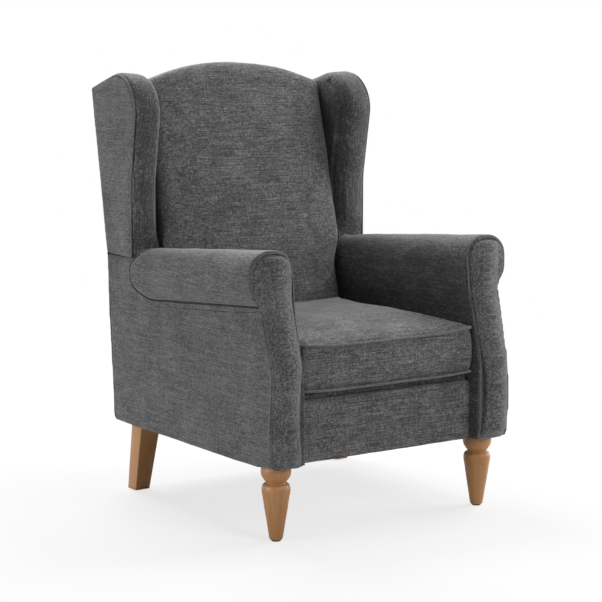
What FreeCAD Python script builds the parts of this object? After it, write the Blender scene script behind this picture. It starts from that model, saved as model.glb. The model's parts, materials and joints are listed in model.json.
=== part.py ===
import FreeCAD, Part
import math
import os

# Wingback armchair with a loose seat cushion. Sizes are in millimetres.
# The chair stands on Z = 0 and faces -Y; X is its width, and left means the -X side.

# Overall sizes
chair_height = 1030.0         # floor to the crest of the arched back
chair_depth = 802.0           # arm fronts to the leaning rear top edge
crest_drop = 22.0             # fall of the padded crest towards the rear
hem_height = 167.0            # floor to the lower edge of the upholstery
waist_height = 571.0          # seam between the side panels and the wings
upper_lean = 74.5             # how far the rear leans back above the waist
lower_lean = 25.0             # how far it leans back below the waist
seat_opening = 481.0          # clear width between the inside arms

# Clearances and cutting
soft_gap = 0.3                # between soft pieces that lie on each other
cushion_gap = 1.0             # each side of the loose cushion
overrun = 20.0                # how far cutters and open ends run past a solid
least_radius = 0.8            # smallest rounding of a soft corner
cloth_thickness = 2.0         # cover with its lining

# Arms
roll_width = 112.5            # scroll arm, inner face to outer bulge
arm_height = 636.0            # top of the arm at the front
arm_drop = 42.0               # how much lower the arm is at its rear end
roll_height = 122.0           # top of the arm to the neck under the scroll
roll_drop = 40.0              # how much lower the neck is at the rear
roll_radius = 50.0
roll_under = 35.0             # height of the slanted underside of the scroll
under_radius = 28.0
arm_end_setback = 225.0       # rear of the chair to the rounded end of the scroll
arm_tail = 40.0               # how far the arm runs on under the wing
end_top_radius = 48.0
end_low_radius = 66.0
body_width = 658.0            # across the side panels
arm_pad_thickness = 40.0      # inside arm, cover and foam together
arm_pad_base = 283.0          # height where the inside arm starts
arm_foot_thickness = 8.0      # padded inner side of an arm's foot
side_panel_thickness = 8.0

# Arm fronts
facing_depth = 12.0           # padding at its fullest
facing_edge_depth = 6.0       # padding beside its welt
facing_fade = 22.0            # length over which the padding thins out at the top
facing_tuck = 26.0            # the same at the hem
facing_tuck_share = 0.35
arm_sweep = 45.0              # how far the scroll stands back from the foot of the arm
sweep_low = 335.0             # heights between which the arm front sweeps back
sweep_high = 560.0
facing_flare = 5.0            # how far the front widens towards the hem
facing_flare_height = 250.0
facing_foot = 0.5             # how far it stays wider at the hem
facing_low_radius = 16.0
facing_bow_radius = 400.0
welt_diameter = 6.0

# Wings
wing_inner_width = 508.0      # between the inner faces of the wings
wing_rear_width = 660.0       # across the wings at their rear edge
wing_front_width = 682.0      # across the wings at their front seams
wing_low_depth = 139.0        # rear edge to front at the waist
wing_bend_height = 741.0      # where the front starts to lean forward
wing_crest_rise = 5.0         # from the chair's crest to where a wing's front and top lines would meet
wing_crest_depth = 261.7      # from the rear edge at the top to that point
wing_rear_drop = 56.0         # from the chair's crest to a wing's rear corner
wing_nose_radius = 92.0
wing_bend_radius = 260.0
wing_low_radius = 12.0
wing_rear_radius = 8.0
wing_inner_round = 26.0
wing_outer_round = 8.0

# Back
back_face_height = 583.0      # height at which the padded face is placed
back_face_depth = 247.0       # rear top edge to the padded face at that height
back_recline = 0.2493         # run of the padded face for each unit of rise
back_low_width = 458.0        # between the arms
back_step_height = 534.0      # where the pad widens above the arms
back_step_rise = 58.0
back_base = 300.0
arch_radius = 675.0
arch_width = 458.0            # chord of the arched top
back_low_radius = 14.0
back_step_radius = 90.0
arch_shoulder_radius = 22.0
back_round = 26.0             # rounding of the padded face into its sides
back_margin = 42.0            # width of that rounding, seen from the front
back_crown = 9.0              # further swell towards the middle
back_crown_margin = 120.0
back_crest_depth = 120.0      # length of the fall of the crest, front to rear
outside_back_thickness = 5.0
outside_shoulder = 6.0        # how far the outside back stays below the wing corners

# Seat cushion
cushion_setback = 19.0        # behind the foot of the arm fronts
cushion_rear_setback = 280.0  # rear of the chair to the rear of the cushion
cushion_base = 317.6
cushion_thickness = 109.0     # seam to seam, welts included
cushion_crown = 30.0
cushion_corner = 20.0
cushion_swell = 1.5           # how far the border swells between its drawn-in seams
cushion_dome_margin = 95.0    # width of the domed part of the top panel
cushion_bottom_margin = 8.0

# Zip in the rear border of the cushion
zip_length = 400.0
zip_tape_width = 26.0
zip_tape_thickness = 1.2
zip_teeth_width = 5.0
zip_teeth_height = 1.4
slider_length = 11.0
slider_width = 9.0
slider_wall = 1.0
slider_tab_length = 24.0
slider_tab_width = 7.0
slider_tab_thickness = 1.2
slider_clearance = 0.3

# Seat frame
rail_thickness = 25.0
rail_height = 75.0
leg_block_height = 35.0
leg_block_size = 70.0
leg_plate_thickness = 3.0
leg_plate_size = 58.0
post_thickness = 36.0
post_depth = 48.0
post_setback = 62.0           # rear of the post to the rear of the chair
post_low_setback = 24.0       # the same at the hem
arm_rail_height = 40.0
arm_rail_lift = 4.0           # above the neck of the scroll
back_rail_height = 80.0
back_rail_thickness = 24.0
lower_rail_height = 352.0
top_rail_margin = 42.0        # below the crest of the back
wing_board_thickness = 25.0
wing_board_margin = 30.0

# Deck and springs
apron_setback = 37.0
apron_thickness = 15.0
apron_height = 306.0
apron_radius = 9.0
felt_thickness = 3.0
deck_cloth_thickness = 1.6
spring_wire = 3.6
spring_count = 4
spring_sweep = 34.0           # straight run across between bends
spring_bends = 14
clip_width = 16.0
clip_thickness = 1.5
clip_flange = 8.0
strap_width = 50.0
strap_thickness = 1.6
strap_count = 5
strap_pitch = 92.0
dust_cover_thickness = 1.0

# Turned front legs
front_leg_spacing = 564.0
front_leg_setback = 59.0
cup_top_radius = 32.0
cup_lip_radius = 33.1
cup_radius = 33.5
cup_height = 12.0             # widest point below the hem
cup_waist_radius = 30.5       # halfway down to the neck
neck_radius = 21.6
neck_height = 36.0            # narrowest point below the hem
collar_height = 39.0          # top of the shouldered taper below the hem
collar_edge_radius = 26.5
collar_radius = 31.0
shoulder_radius = 31.6
shoulder_height = 54.0
ankle_radius = 15.3
ankle_height = 9.0            # above the floor
toe_radius = 12.5

# Square rear legs
rear_leg_outer = 632.0        # across both legs, outside faces
rear_foot_setback = 181.0     # front of the foot to the rear top edge
rear_leg_rake = 31.0          # how far the foot stands behind the top
rear_foot_width = 39.0
rear_foot_depth = 39.0
rear_top_width = 54.0
rear_top_depth = 46.0
rear_leg_edge = 2.5

# Fixings
bolt_diameter = 8.0
bolt_in_leg = 38.0
bolt_in_block = 28.0
bolt_clearance = 0.2
glide_radius = 10.0
glide_height = 3.0

# Places that several pieces share
front_y = -chair_depth / 2
rear_y = chair_depth / 2
arm_inner_x = seat_opening / 2
arm_outer_x = arm_inner_x + roll_width
panel_outer_x = body_width / 2
panel_inner_x = panel_outer_x - side_panel_thickness
facing_y = front_y + facing_depth
arm_end_y = rear_y - arm_end_setback
arm_top_y = facing_y + arm_sweep
neck_height_front = arm_height - roll_height
neck_height_rear = neck_height_front - roll_drop
plate_top = hem_height + leg_plate_thickness
rail_base = plate_top + leg_block_height
rail_top = rail_base + rail_height
cushion_front_y = front_y + cushion_setback
cushion_rear_y = rear_y - cushion_rear_setback
cushion_half = arm_inner_x - cushion_gap
apron_y = front_y + apron_setback
front_rail_y = apron_y + apron_thickness
arm_post_depth = front_rail_y - facing_y
arm_fall = arm_drop / (arm_end_y - arm_top_y)
neck_fall = roll_drop / (arm_end_y - arm_top_y)
rear_leg_y = rear_y - rear_foot_setback - rear_leg_rake
post_outer_x = panel_inner_x - soft_gap
post_inner_x = post_outer_x - post_thickness
wing_inner_x = wing_inner_width / 2
spring_z = rail_top + spring_wire / 2
felt_base = rail_top + spring_wire + clip_thickness + 2 * soft_gap
deck_base = felt_base + felt_thickness
deck_top = cushion_base - soft_gap
wing_crest_height = chair_height + wing_crest_rise
wing_rear_height = chair_height - wing_rear_drop
rear_top_height = chair_height - crest_drop
upper_slope = upper_lean / (rear_top_height - waist_height)
lower_slope = lower_lean / (waist_height - hem_height)
round_shares = (0.0, 0.17, 0.36, 0.58, 0.8, 1.0)
side_room_share = 0.98
facing_rings = 48
welt_step = 12.0              # spacing of the points along a swept welt


def vec(x, y, z):
    return FreeCAD.Vector(x, y, z)


def block(x0, x1, y0, y1, z0, z1):
    return Part.makeBox(x1 - x0, y1 - y0, z1 - z0, vec(x0, y0, z0))


def mirrored(shape):
    return shape.mirror(vec(0, 0, 0), vec(1, 0, 0))


def pair(shape):
    return {"left": mirrored(shape), "right": shape}


def together(shapes):
    return Part.makeCompound(shapes)


def less(shape, *tools):
    for tool in tools:
        shape = shape.cut(tool)
    return shape


def rear_at(z):
    """Y of the outside back at a height."""
    if z >= waist_height:
        return rear_y - upper_slope * (rear_top_height - z)
    return rear_y - upper_lean - lower_slope * (waist_height - z)


def face_at(z):
    """Y of the padded back face at a height, before its swell."""
    return rear_y - back_face_depth + back_recline * (z - back_face_height)


def rounded_outline(corners, inset=0.0):
    """Arcs of a closed outline of (u, v, radius) corners, anticlockwise, moved in by inset."""
    count = len(corners)
    sides = []
    for i in range(count):
        u0, v0, _ = corners[i]
        u1, v1, _ = corners[(i + 1) % count]
        length = math.hypot(u1 - u0, v1 - v0)
        du, dv = (u1 - u0) / length, (v1 - v0) / length
        sides.append((u0 - dv * inset, v0 + du * inset, du, dv))
    points = []
    for i in range(count):
        u0, v0, du0, dv0 = sides[i - 1]
        u1, v1, du1, dv1 = sides[i]
        cross = du0 * dv1 - dv0 * du1
        along = ((u1 - u0) * dv1 - (v1 - v0) * du1) / cross
        points.append((u0 + du0 * along, v0 + dv0 * along))
    lengths = [math.dist(points[i], points[(i + 1) % count]) for i in range(count)]
    halves, reaches = [], []
    for i in range(count):
        _, _, du0, dv0 = sides[i - 1]
        _, _, du1, dv1 = sides[i]
        turn = math.atan2(du0 * dv1 - dv0 * du1, du0 * du1 + dv0 * dv1)
        halves.append(abs(turn) / 2)
        radius = max(corners[i][2] - math.copysign(inset, turn), least_radius)
        reaches.append(radius * math.tan(halves[i]))
    arcs = []
    for i in range(count):
        _, _, du0, dv0 = sides[i - 1]
        _, _, du1, dv1 = sides[i]
        before = lengths[i - 1] / (reaches[i - 1] + reaches[i])
        after = lengths[i] / (reaches[i] + reaches[(i + 1) % count])
        half = halves[i]
        reach = reaches[i] * min(1, before * side_room_share, after * side_room_share)
        radius = reach / math.tan(half)
        u, v = points[i]
        start = (u - du0 * reach, v - dv0 * reach)
        end = (u + du1 * reach, v + dv1 * reach)
        middle = ((start[0] + end[0]) / 2 - u, (start[1] + end[1]) / 2 - v)
        share = radius * (1 / math.cos(half) - 1) / math.hypot(*middle)
        arcs.append((start, (u + middle[0] * share, v + middle[1] * share), end))
    return arcs


def outline_edges(arcs, place, closed=True):
    edges = []
    for i, (start, middle, end) in enumerate(arcs):
        edges.append(Part.Arc(place(*start), place(*middle), place(*end)).toShape())
        if closed or i + 1 < len(arcs):
            following = arcs[(i + 1) % len(arcs)][0]
            edges.append(Part.LineSegment(place(*end), place(*following)).toShape())
    return edges


def outline_wire(arcs, place):
    return Part.Wire(outline_edges(arcs, place))


def loft(wires):
    return Part.makeLoft(wires, True, True)


def prism(corners, place, move, inset=0.0):
    """An outline carried along a vector."""
    return Part.Face(outline_wire(rounded_outline(corners, inset), place)).extrude(move)


def polygon_prism(points, move):
    return Part.Face(Part.makePolygon(points + points[:1])).extrude(move)


def side_prism(points, x0, x1):
    """A straight-sided outline of (y, z) points carried from x0 to x1."""
    return polygon_prism([vec(x0, y, z) for y, z in points], vec(x1 - x0, 0, 0))


def tube(edges, radius, closed=False):
    path = Part.Wire(edges)
    start = path.Edges[0]
    at = start.valueAt(start.FirstParameter)
    heading = start.tangentAt(start.FirstParameter)
    ring = Part.Wire(Part.makeCircle(radius, at, heading))
    return path.makePipeShell([ring], True, False)


# Arms


def arm_top(y):
    return arm_height - arm_fall * (y - arm_top_y)


def neck_at(y):
    return neck_height_front - neck_fall * (y - arm_top_y)


def front_line(z):
    """Y of the arm front, without its padding: upright, then swept back to the scroll."""
    share = min(max((z - sweep_low) / (sweep_high - sweep_low), 0), 1)
    return facing_y + arm_sweep * share * share * (3 - 2 * share)


def front_heights(z0, z1):
    step = (z1 - z0) / facing_rings
    return [z0 + i * step for i in range(facing_rings + 1)]


def front_band(z0, z1, x0, x1, depth):
    """A swept slab behind the arm front."""
    heights = front_heights(z0, z1)
    points = [(front_line(z), z) for z in heights]
    points += [(front_line(z) + depth, z) for z in reversed(heights)]
    return side_prism(points, x0, x1)


def behind_front():
    """All the room behind the line of the arm front."""
    heights = [0] + front_heights(hem_height, arm_height) + [chair_height]
    points = [(front_line(z), z) for z in heights]
    points += [(rear_y + overrun, chair_height), (rear_y + overrun, 0)]
    return side_prism(points, 0, chair_depth)


def arm_corners(y, base):
    """Section of the inside arm and its scroll."""
    top, neck = arm_top(y), neck_at(y)
    pad_x = arm_inner_x + arm_pad_thickness
    return [
        (arm_inner_x, base, least_radius),
        (pad_x, base, least_radius),
        (pad_x, neck, least_radius),
        (panel_outer_x, neck, least_radius),
        (arm_outer_x, neck + roll_under, under_radius),
        (arm_outer_x, top, roll_radius),
        (arm_inner_x, top, roll_radius),
    ]


def arm_form(inset=0.0, open_end=0.0):
    """The arm as padded; open_end carries it on through the front and the base."""
    wires = []
    for y in (facing_y - open_end, arm_end_y + arm_tail - inset):
        arcs = rounded_outline(arm_corners(y, arm_pad_base - open_end), inset)
        wires.append(outline_wire(arcs, lambda u, v, y=y: vec(u, y, v)))
    end_y = arm_end_y - inset
    low, high = neck_at(end_y) + inset, arm_top(end_y) - inset
    far_y = facing_y - open_end - overrun
    scroll_end = [
        (far_y, low, least_radius),
        (end_y, low, end_low_radius),
        (end_y, high, end_top_radius),
        (end_y - 2 * end_low_radius, arm_top(end_y - 2 * end_low_radius) + overrun, least_radius),
        (far_y, arm_height + roll_height, least_radius),
    ]
    x = post_outer_x - inset
    kept = prism(scroll_end, lambda u, v: vec(x, u, v), vec(roll_width, 0, 0))
    zone = block(x, x + roll_width, end_y - end_low_radius - overrun,
                 end_y + arm_tail + overrun, low - overrun, high + overrun)
    form = loft(wires).cut(zone.cut(kept))
    return form if open_end else form.common(behind_front())


def arm_post():
    """Upright board behind the arm front, swept with it."""
    top = neck_at(arm_top_y + arm_post_depth) + arm_rail_lift
    return front_band(rail_base, top, post_inner_x, post_outer_x, arm_post_depth)


def arm_foot():
    """Padded inner side of an arm front, from the hem to the inside arm."""
    x1 = arm_inner_x + arm_foot_thickness
    return block(arm_inner_x, x1, facing_y, front_rail_y, hem_height, arm_pad_base)


def arm_rail():
    """Sloping board inside the scroll, from the arm post to the back post."""
    far_y = post_front_at(neck_height_rear)
    points = []
    for y, rise in ((arm_top_y, 0), (far_y, 0), (far_y, arm_rail_height),
                    (arm_top_y, arm_rail_height)):
        points.append((y, neck_at(y) + arm_rail_lift + rise))
    return side_prism(points, post_inner_x, post_outer_x).cut(arm_post()).cut(back_post())


def arm_foam():
    inset = cloth_thickness + soft_gap
    return less(arm_form(inset), arm_post(), arm_rail())


def arm_cover():
    shell = arm_form().cut(arm_form(cloth_thickness, overrun))
    return less(shell, arm_post(), arm_rail())


def facing_corners():
    return [
        (arm_inner_x, hem_height, least_radius),
        (panel_outer_x + facing_foot, hem_height, facing_low_radius),
        (panel_outer_x + facing_flare, facing_flare_height, facing_bow_radius),
        (panel_outer_x, neck_height_front, under_radius),
        (arm_outer_x, neck_height_front + roll_under, under_radius),
        (arm_outer_x, arm_height, roll_radius),
        (arm_inner_x, arm_height, roll_radius),
    ]


def facing_outline(inset):
    """Points round the arm front, from its outer foot over the scroll to its inner foot."""
    arcs = rounded_outline(facing_corners(), inset)
    edges = outline_edges(arcs[1:], lambda u, v: vec(u, 0, v), closed=False)
    foot = vec(arcs[0][0][0], 0, arcs[0][0][1])
    edges.append(Part.LineSegment(edges[-1].valueAt(edges[-1].LastParameter), foot).toShape())
    points = []
    for edge in edges:
        pieces = max(2, math.ceil(edge.Length / welt_step))
        run = edge.discretize(pieces + 1)
        if points and run[0].distanceToPoint(points[-1]) > run[-1].distanceToPoint(points[-1]):
            run.reverse()
        points += run[1:] if points else run
    return points


def span_at(points, z):
    """Inner and outer X of an outline at a height."""
    found = []
    for a, b in zip(points, points[1:] + points[:1]):
        if (a.z - z) * (b.z - z) <= 0 and a.z != b.z:
            found.append(a.x + (b.x - a.x) * (z - a.z) / (b.z - a.z))
    return min(found), max(found)


def arm_facing():
    """Padded front of an arm, inside its welt."""
    outline = facing_outline(welt_diameter)
    low = min(p.z for p in outline)
    high = max(p.z for p in outline)
    wires = []
    for i in range(facing_rings):
        z = low + (high - low) * math.sin(i / facing_rings * math.pi / 2)
        x0, x1 = span_at(outline, z if i else z + least_radius)
        fade = math.sin(min((high - z) / facing_fade, 1) * math.pi / 2)
        low_share = math.sin(min((z - low) / facing_tuck, 1) * math.pi / 2)
        fade *= facing_tuck_share + (1 - facing_tuck_share) * low_share
        y = front_line(z) - soft_gap
        edge, peak = facing_edge_depth * fade, (2 * facing_depth - facing_edge_depth) * fade
        corners = [(x0, y - edge, facing_edge_depth / 2),
                   ((x0 + x1) / 2, y - peak, facing_bow_radius),
                   (x1, y - edge, facing_edge_depth / 2),
                   (x1, y, least_radius), (x0, y, least_radius)]
        level = z if i else hem_height
        arcs = rounded_outline(corners)
        wires.append(outline_wire(arcs, lambda u, v, level=level: vec(u, v, level)))
    return loft(wires)


def ring_tube(points, radius):
    """A closed-ended tube through points that do not lie in one plane."""
    wires = []
    for i, point in enumerate(points):
        heading = (points[min(i + 1, len(points) - 1)] - points[max(i - 1, 0)]).normalize()
        across = heading.cross(vec(0, 1, 0)).normalize()
        ring = Part.makeCircle(radius)
        turn = FreeCAD.Rotation(across, vec(0, 0, 0), heading, "ZXY")
        ring.Placement = FreeCAD.Placement(point, turn)
        wires.append(Part.Wire(ring))
    return loft(wires)


def facing_welt():
    """Piping round the arm front, open at the hem."""
    radius = welt_diameter / 2
    points = facing_outline(radius - soft_gap)
    lowest = min(p.z for p in points)
    run = [p for p in points if p.z > lowest + radius]
    first, last = vec(run[0].x, 0, hem_height + radius), vec(run[-1].x, 0, hem_height + radius)
    path = [vec(p.x, front_line(p.z) - radius - soft_gap, p.z) for p in [first] + run + [last]]
    return ring_tube(path, radius)


def side_panel():
    """Outside arm: board, wadding and cover, with the scroll above its front part."""
    inside = outside_back_thickness + soft_gap
    rear_foot = (rear_at(hem_height) - inside, hem_height)
    rear_top = (rear_at(waist_height) - inside, waist_height - soft_gap)
    step, near_y = arm_end_y - end_low_radius, facing_y - overrun
    points = [(near_y, hem_height), rear_foot, rear_top, (step, rear_top[1]),
              (step, neck_at(step) - soft_gap), (near_y, neck_at(near_y) - soft_gap)]
    panel = side_prism(points, panel_inner_x, panel_outer_x).common(behind_front())
    return panel.cut(arm_form(-soft_gap))


# Wings


def wing_corners():
    """Side view of a wing as (y, z)."""
    inside = outside_back_thickness + soft_gap
    front = rear_at(waist_height) - wing_low_depth
    return [
        (front, waist_height, wing_low_radius),
        (rear_at(waist_height) - inside, waist_height, wing_low_radius),
        (rear_at(wing_rear_height) - inside, wing_rear_height, wing_rear_radius),
        (rear_y - wing_crest_depth, wing_crest_height, wing_nose_radius),
        (front, wing_bend_height, wing_bend_radius),
    ]


def wing_outer_x(y):
    """The outer face spreads towards the front."""
    spread = (wing_front_width - wing_rear_width) / 2
    length = rear_at(wing_rear_height) - (rear_y - wing_crest_depth)
    return wing_rear_width / 2 + spread * (rear_at(wing_rear_height) - y) / length


def wing_form(inset=0.0):
    wires = []
    for share in round_shares:
        angle = share * math.pi / 2
        x = wing_inner_x + inset + wing_inner_round * (1 - math.cos(angle))
        edge = inset + wing_inner_round * (1 - math.sin(angle))
        arcs = rounded_outline(wing_corners(), edge)
        wires.append(outline_wire(arcs, lambda u, v, x=x: vec(x, u, v)))
    for share in round_shares:
        angle = share * math.pi / 2
        back = inset + wing_outer_round * (1 - math.sin(angle))
        edge = inset + wing_outer_round * (1 - math.cos(angle))
        arcs = rounded_outline(wing_corners(), edge)
        wires.append(outline_wire(arcs, lambda u, v, back=back: vec(wing_outer_x(u) - back, u, v)))
    return loft(wires)


def wing_board():
    """Frame board of a wing, in front of the back post."""
    x0 = (post_inner_x + post_outer_x - wing_board_thickness) / 2
    board = prism(wing_corners(), lambda u, v: vec(x0, u, v),
                  vec(wing_board_thickness, 0, 0), wing_board_margin)
    top = chair_height + overrun
    behind = [(post_front_at(hem_height), hem_height), (rear_y + overrun, hem_height),
              (rear_y + overrun, top), (post_front_at(top), top)]
    return board.cut(side_prism(behind, x0 - overrun, x0 + wing_board_thickness + overrun))


def wing_hardware():
    return (back_post(), wing_board(), top_back_rail(), arm_rail(), arm_form(-soft_gap))


def wing_foam():
    return less(wing_form(cloth_thickness + soft_gap), *wing_hardware())


def wing_cover():
    return less(wing_form().cut(wing_form(cloth_thickness)), *wing_hardware())


def wing_welt():
    """Piping along the outer seam, from the rear top corner over the nose to the waist."""
    reach = (wing_outer_round + welt_diameter / 2 + soft_gap) / math.sqrt(2)
    edge = wing_outer_round - reach
    arcs = rounded_outline(wing_corners(), edge)
    run = arcs[2:]
    place = lambda u, v: vec(wing_outer_x(u) - edge, u, v)
    edges = outline_edges(run, place, closed=False)
    foot = (arcs[0][2][0], arcs[0][0][1])
    edges.append(Part.LineSegment(place(*run[-1][2]), place(run[-1][2][0], foot[1])).toShape())
    return tube(edges, welt_diameter / 2)


# Back


def post_front_at(z):
    """Front face of the back posts: parallel to the straight line of the rear."""
    low = rear_at(hem_height) - post_low_setback - post_depth
    high = rear_at(chair_height) - post_setback - post_depth
    return low + (high - low) * (z - hem_height) / (chair_height - hem_height)


def board_zone(z0, z1, x, depth, setback=0.0):
    """A leaning board from z0 to z1 that spans -x to x, set back from the post fronts."""
    points = [(post_front_at(z0) + setback, z0), (post_front_at(z0) + setback + depth, z0),
              (post_front_at(z1) + setback + depth, z1), (post_front_at(z1) + setback, z1)]
    return side_prism(points, -x, x)


def back_post():
    top = wing_rear_height - wing_board_margin
    points = [(post_front_at(rail_base), rail_base), (post_front_at(rail_base) + post_depth, rail_base),
              (post_front_at(top) + post_depth, top), (post_front_at(top), top)]
    return side_prism(points, post_inner_x, post_outer_x)


def top_back_rail():
    """Arched board between the posts."""
    crest = chair_height - top_rail_margin
    zone = board_zone(crest - 2 * back_rail_height, crest, post_inner_x, back_rail_thickness)
    centre = vec(0, front_y, crest - arch_radius)
    disc = Part.makeCylinder(arch_radius, 2 * chair_depth, centre, vec(0, 1, 0))
    return zone.common(disc)


def lower_back_rail():
    return board_zone(lower_rail_height, lower_rail_height + back_rail_height,
                      post_inner_x, back_rail_thickness)


def arch_corners(half, crest):
    """Whole outline from the corners of its right side, under an arch with a given crest."""
    half_arch = arch_width / 2
    slope = math.tan(math.asin(half_arch / arch_radius))
    end = crest - arch_radius + math.sqrt(arch_radius ** 2 - half_arch ** 2)
    last = (half[-1][0], end - slope * (half[-1][0] - half_arch), half[-1][2])
    right = half[:-1] + [last]
    apex = [(0, end + slope * half_arch, arch_radius)]
    return right + apex + [(-u, v, r) for u, v, r in reversed(right)]


def back_corners(crest):
    """Front view of the inside back: narrow between the arms, wide above, arched on top."""
    wide = wing_inner_x - soft_gap
    return arch_corners([
        (back_low_width / 2, back_base, back_low_radius),
        (back_low_width / 2, back_step_height, back_step_radius),
        (wide, back_step_height + back_step_rise, back_step_radius),
        (wide, crest, arch_shoulder_radius),
    ], crest)


def back_form(inset=0.0, open_end=0.0):
    """The inside back with its rounded margin and crown; open_end carries it out behind."""
    corners = back_corners(chair_height)

    def plane(forward):
        return lambda u, v: vec(u, face_at(v) - forward, v)

    wires = []
    rear_gap = outside_back_thickness + soft_gap - open_end
    low_crest = chair_height - crest_drop * (1 + open_end / back_crest_depth)
    arcs = rounded_outline(back_corners(low_crest), inset)
    wires.append(outline_wire(arcs, lambda u, v: vec(u, rear_at(waist_height) + upper_slope
                                                     * (v - waist_height) - rear_gap, v)))
    for share in round_shares:
        angle = share * math.pi / 2
        edge = inset + back_margin * (1 - math.cos(angle))
        forward = back_round * (math.sin(angle) - 1) - inset
        wires.append(outline_wire(rounded_outline(corners, edge), plane(forward)))
    for share in round_shares[1:]:
        angle = share * math.pi / 2
        edge = inset + back_margin + back_crown_margin * share
        forward = back_crown * math.sin(angle) - inset
        wires.append(outline_wire(rounded_outline(corners, edge), plane(forward)))
    form = loft(wires)
    room = block(-chair_depth, chair_depth, front_y, cushion_rear_y + soft_gap + inset,
                 0, chair_height)
    return form.cut(room)


def arm_room():
    arm = arm_form(-soft_gap)
    return arm, mirrored(arm)


def back_cover():
    shell = back_form().cut(back_form(cloth_thickness, overrun))
    return less(shell, top_back_rail(), lower_back_rail(), *arm_room())


def strap_top():
    return chair_height - top_rail_margin - back_rail_height


def back_foam():
    """Foam in front of the straps, carried round the top rail and the sides."""
    high = strap_top() + soft_gap
    gap = strap_thickness + soft_gap
    behind = [(post_front_at(hem_height) - gap, hem_height), (rear_y + overrun, hem_height),
              (rear_y + overrun, high), (post_front_at(high) - gap, high)]
    pocket = side_prism(behind, -back_low_width / 2, back_low_width / 2)
    form = back_form(cloth_thickness + soft_gap)
    return less(form, pocket, top_back_rail(), lower_back_rail(), *arm_room())


def back_straps():
    """Upright elastic straps on the front of the two back rails."""
    low = lower_rail_height + soft_gap
    straps = []
    for i in range(strap_count):
        x = (i - (strap_count - 1) / 2) * strap_pitch
        strap = board_zone(low, strap_top(), strap_width / 2, strap_thickness, -strap_thickness)
        straps.append(strap.translated(vec(x, 0, 0)))
    return together(straps)


def outside_back():
    """Outside back panel: a bent strip along the rear, trimmed to the arched outline."""
    thick = outside_back_thickness
    crest = rear_top_height
    points = [(rear_at(hem_height) - thick, hem_height), (rear_at(hem_height), hem_height),
              (rear_at(waist_height), waist_height), (rear_at(crest), crest),
              (rear_at(crest) - thick, crest), (rear_at(waist_height) - thick, waist_height)]
    strip = side_prism(points, -body_width, body_width)
    side = wing_rear_width / 2
    corners = arch_corners([
        (panel_outer_x, hem_height, wing_rear_radius),
        (side, waist_height, arch_radius),
        (side, wing_rear_height - outside_shoulder, wing_rear_radius),
        (wing_inner_x, crest, arch_shoulder_radius),
    ], crest)
    outline = prism(corners, lambda u, v: vec(u, rear_y + overrun, v), vec(0, -chair_depth, 0))
    return strip.common(outline)


# Seat cushion


def cushion_corners():
    return [
        (-cushion_half, cushion_front_y, cushion_corner),
        (cushion_half, cushion_front_y, cushion_corner),
        (cushion_half, cushion_rear_y, cushion_corner),
        (-cushion_half, cushion_rear_y, cushion_corner),
    ]


def cushion_form(inset=0.0):
    """Box cushion: flat below, drawn in at its seams, domed top."""
    low = cushion_base + welt_diameter / 2
    high = cushion_base + cushion_thickness - welt_diameter / 2
    rings = []
    for share in round_shares[:-1]:
        angle = share * math.pi / 2
        rings.append((low - (welt_diameter / 2) * math.cos(angle),
                      cushion_bottom_margin * (1 - math.sin(angle))))
    for share in round_shares:
        swell = cushion_swell * math.sin(share * math.pi)
        rings.append((low + (high - low) * share, -swell))
    for share in round_shares[1:]:
        angle = share * math.pi / 2
        rings.append((high + cushion_crown * math.sin(angle), cushion_dome_margin * (1 - math.cos(angle))))
    wires = []
    for z, edge in rings:
        middle = (low + high) / 2
        z = middle + (z - middle) * (1 - 2 * inset / cushion_thickness)
        arcs = rounded_outline(cushion_corners(), welt_diameter + soft_gap + edge + inset)
        wires.append(outline_wire(arcs, lambda u, v, z=z: vec(u, v, z)))
    return loft(wires)


def cushion_welt(z):
    arcs = rounded_outline(cushion_corners(), welt_diameter / 2)
    return tube(outline_edges(arcs, lambda u, v: vec(u, v, z)), welt_diameter / 2)


def zip_face_y():
    return cushion_rear_y - welt_diameter + cushion_swell


def zip_tape():
    """Closed zip along the rear border."""
    middle = cushion_base + cushion_thickness / 2
    face = zip_face_y()
    tape = block(-zip_length / 2, zip_length / 2, face, face + zip_tape_thickness,
                 middle - zip_tape_width / 2, middle + zip_tape_width / 2)
    teeth = block(-zip_length / 2, zip_length / 2, face + zip_tape_thickness,
                  face + zip_tape_thickness + zip_teeth_height,
                  middle - zip_teeth_width / 2, middle + zip_teeth_width / 2)
    return tape.fuse(teeth).removeSplitter()


def zip_slider():
    """Slider over the teeth with its hanging tab, at the closed end."""
    middle = cushion_base + cushion_thickness / 2
    back = zip_face_y() + zip_tape_thickness + slider_clearance
    x0 = -zip_length / 2 + slider_length
    height = zip_teeth_height + slider_wall
    body = block(x0, x0 + slider_length, back, back + height,
                 middle - slider_width / 2, middle + slider_width / 2)
    groove_half = zip_teeth_width / 2 + slider_clearance
    groove = block(x0 - overrun, x0 + slider_length + overrun, back - overrun,
                   back + zip_teeth_height, middle - groove_half, middle + groove_half)
    tab_x = x0 + (slider_length - slider_tab_width) / 2
    tab = block(tab_x, tab_x + slider_tab_width, back + height - slider_tab_thickness,
                back + height, middle - slider_width / 2 - slider_tab_length,
                middle - slider_width / 2)
    return body.cut(groove).fuse(tab).removeSplitter()


# Seat frame, springs and deck


def seat_side_rail():
    near_y = front_rail_y + rail_thickness
    return less(block(post_outer_x - rail_thickness, post_outer_x, near_y,
                      post_front_at(rail_top), rail_base, rail_top), back_post())


def front_seat_rail():
    x = post_outer_x
    return block(-x, x, front_rail_y, front_rail_y + rail_thickness, rail_base, rail_top)


def rear_seat_rail():
    x, y = post_inner_x, post_front_at(rail_top)
    return block(-x, x, y, y + rail_thickness, rail_base, rail_top)


def front_bolt():
    """The bolts stand on the leg axes."""
    return front_leg_spacing / 2, front_y + front_leg_setback


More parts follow.
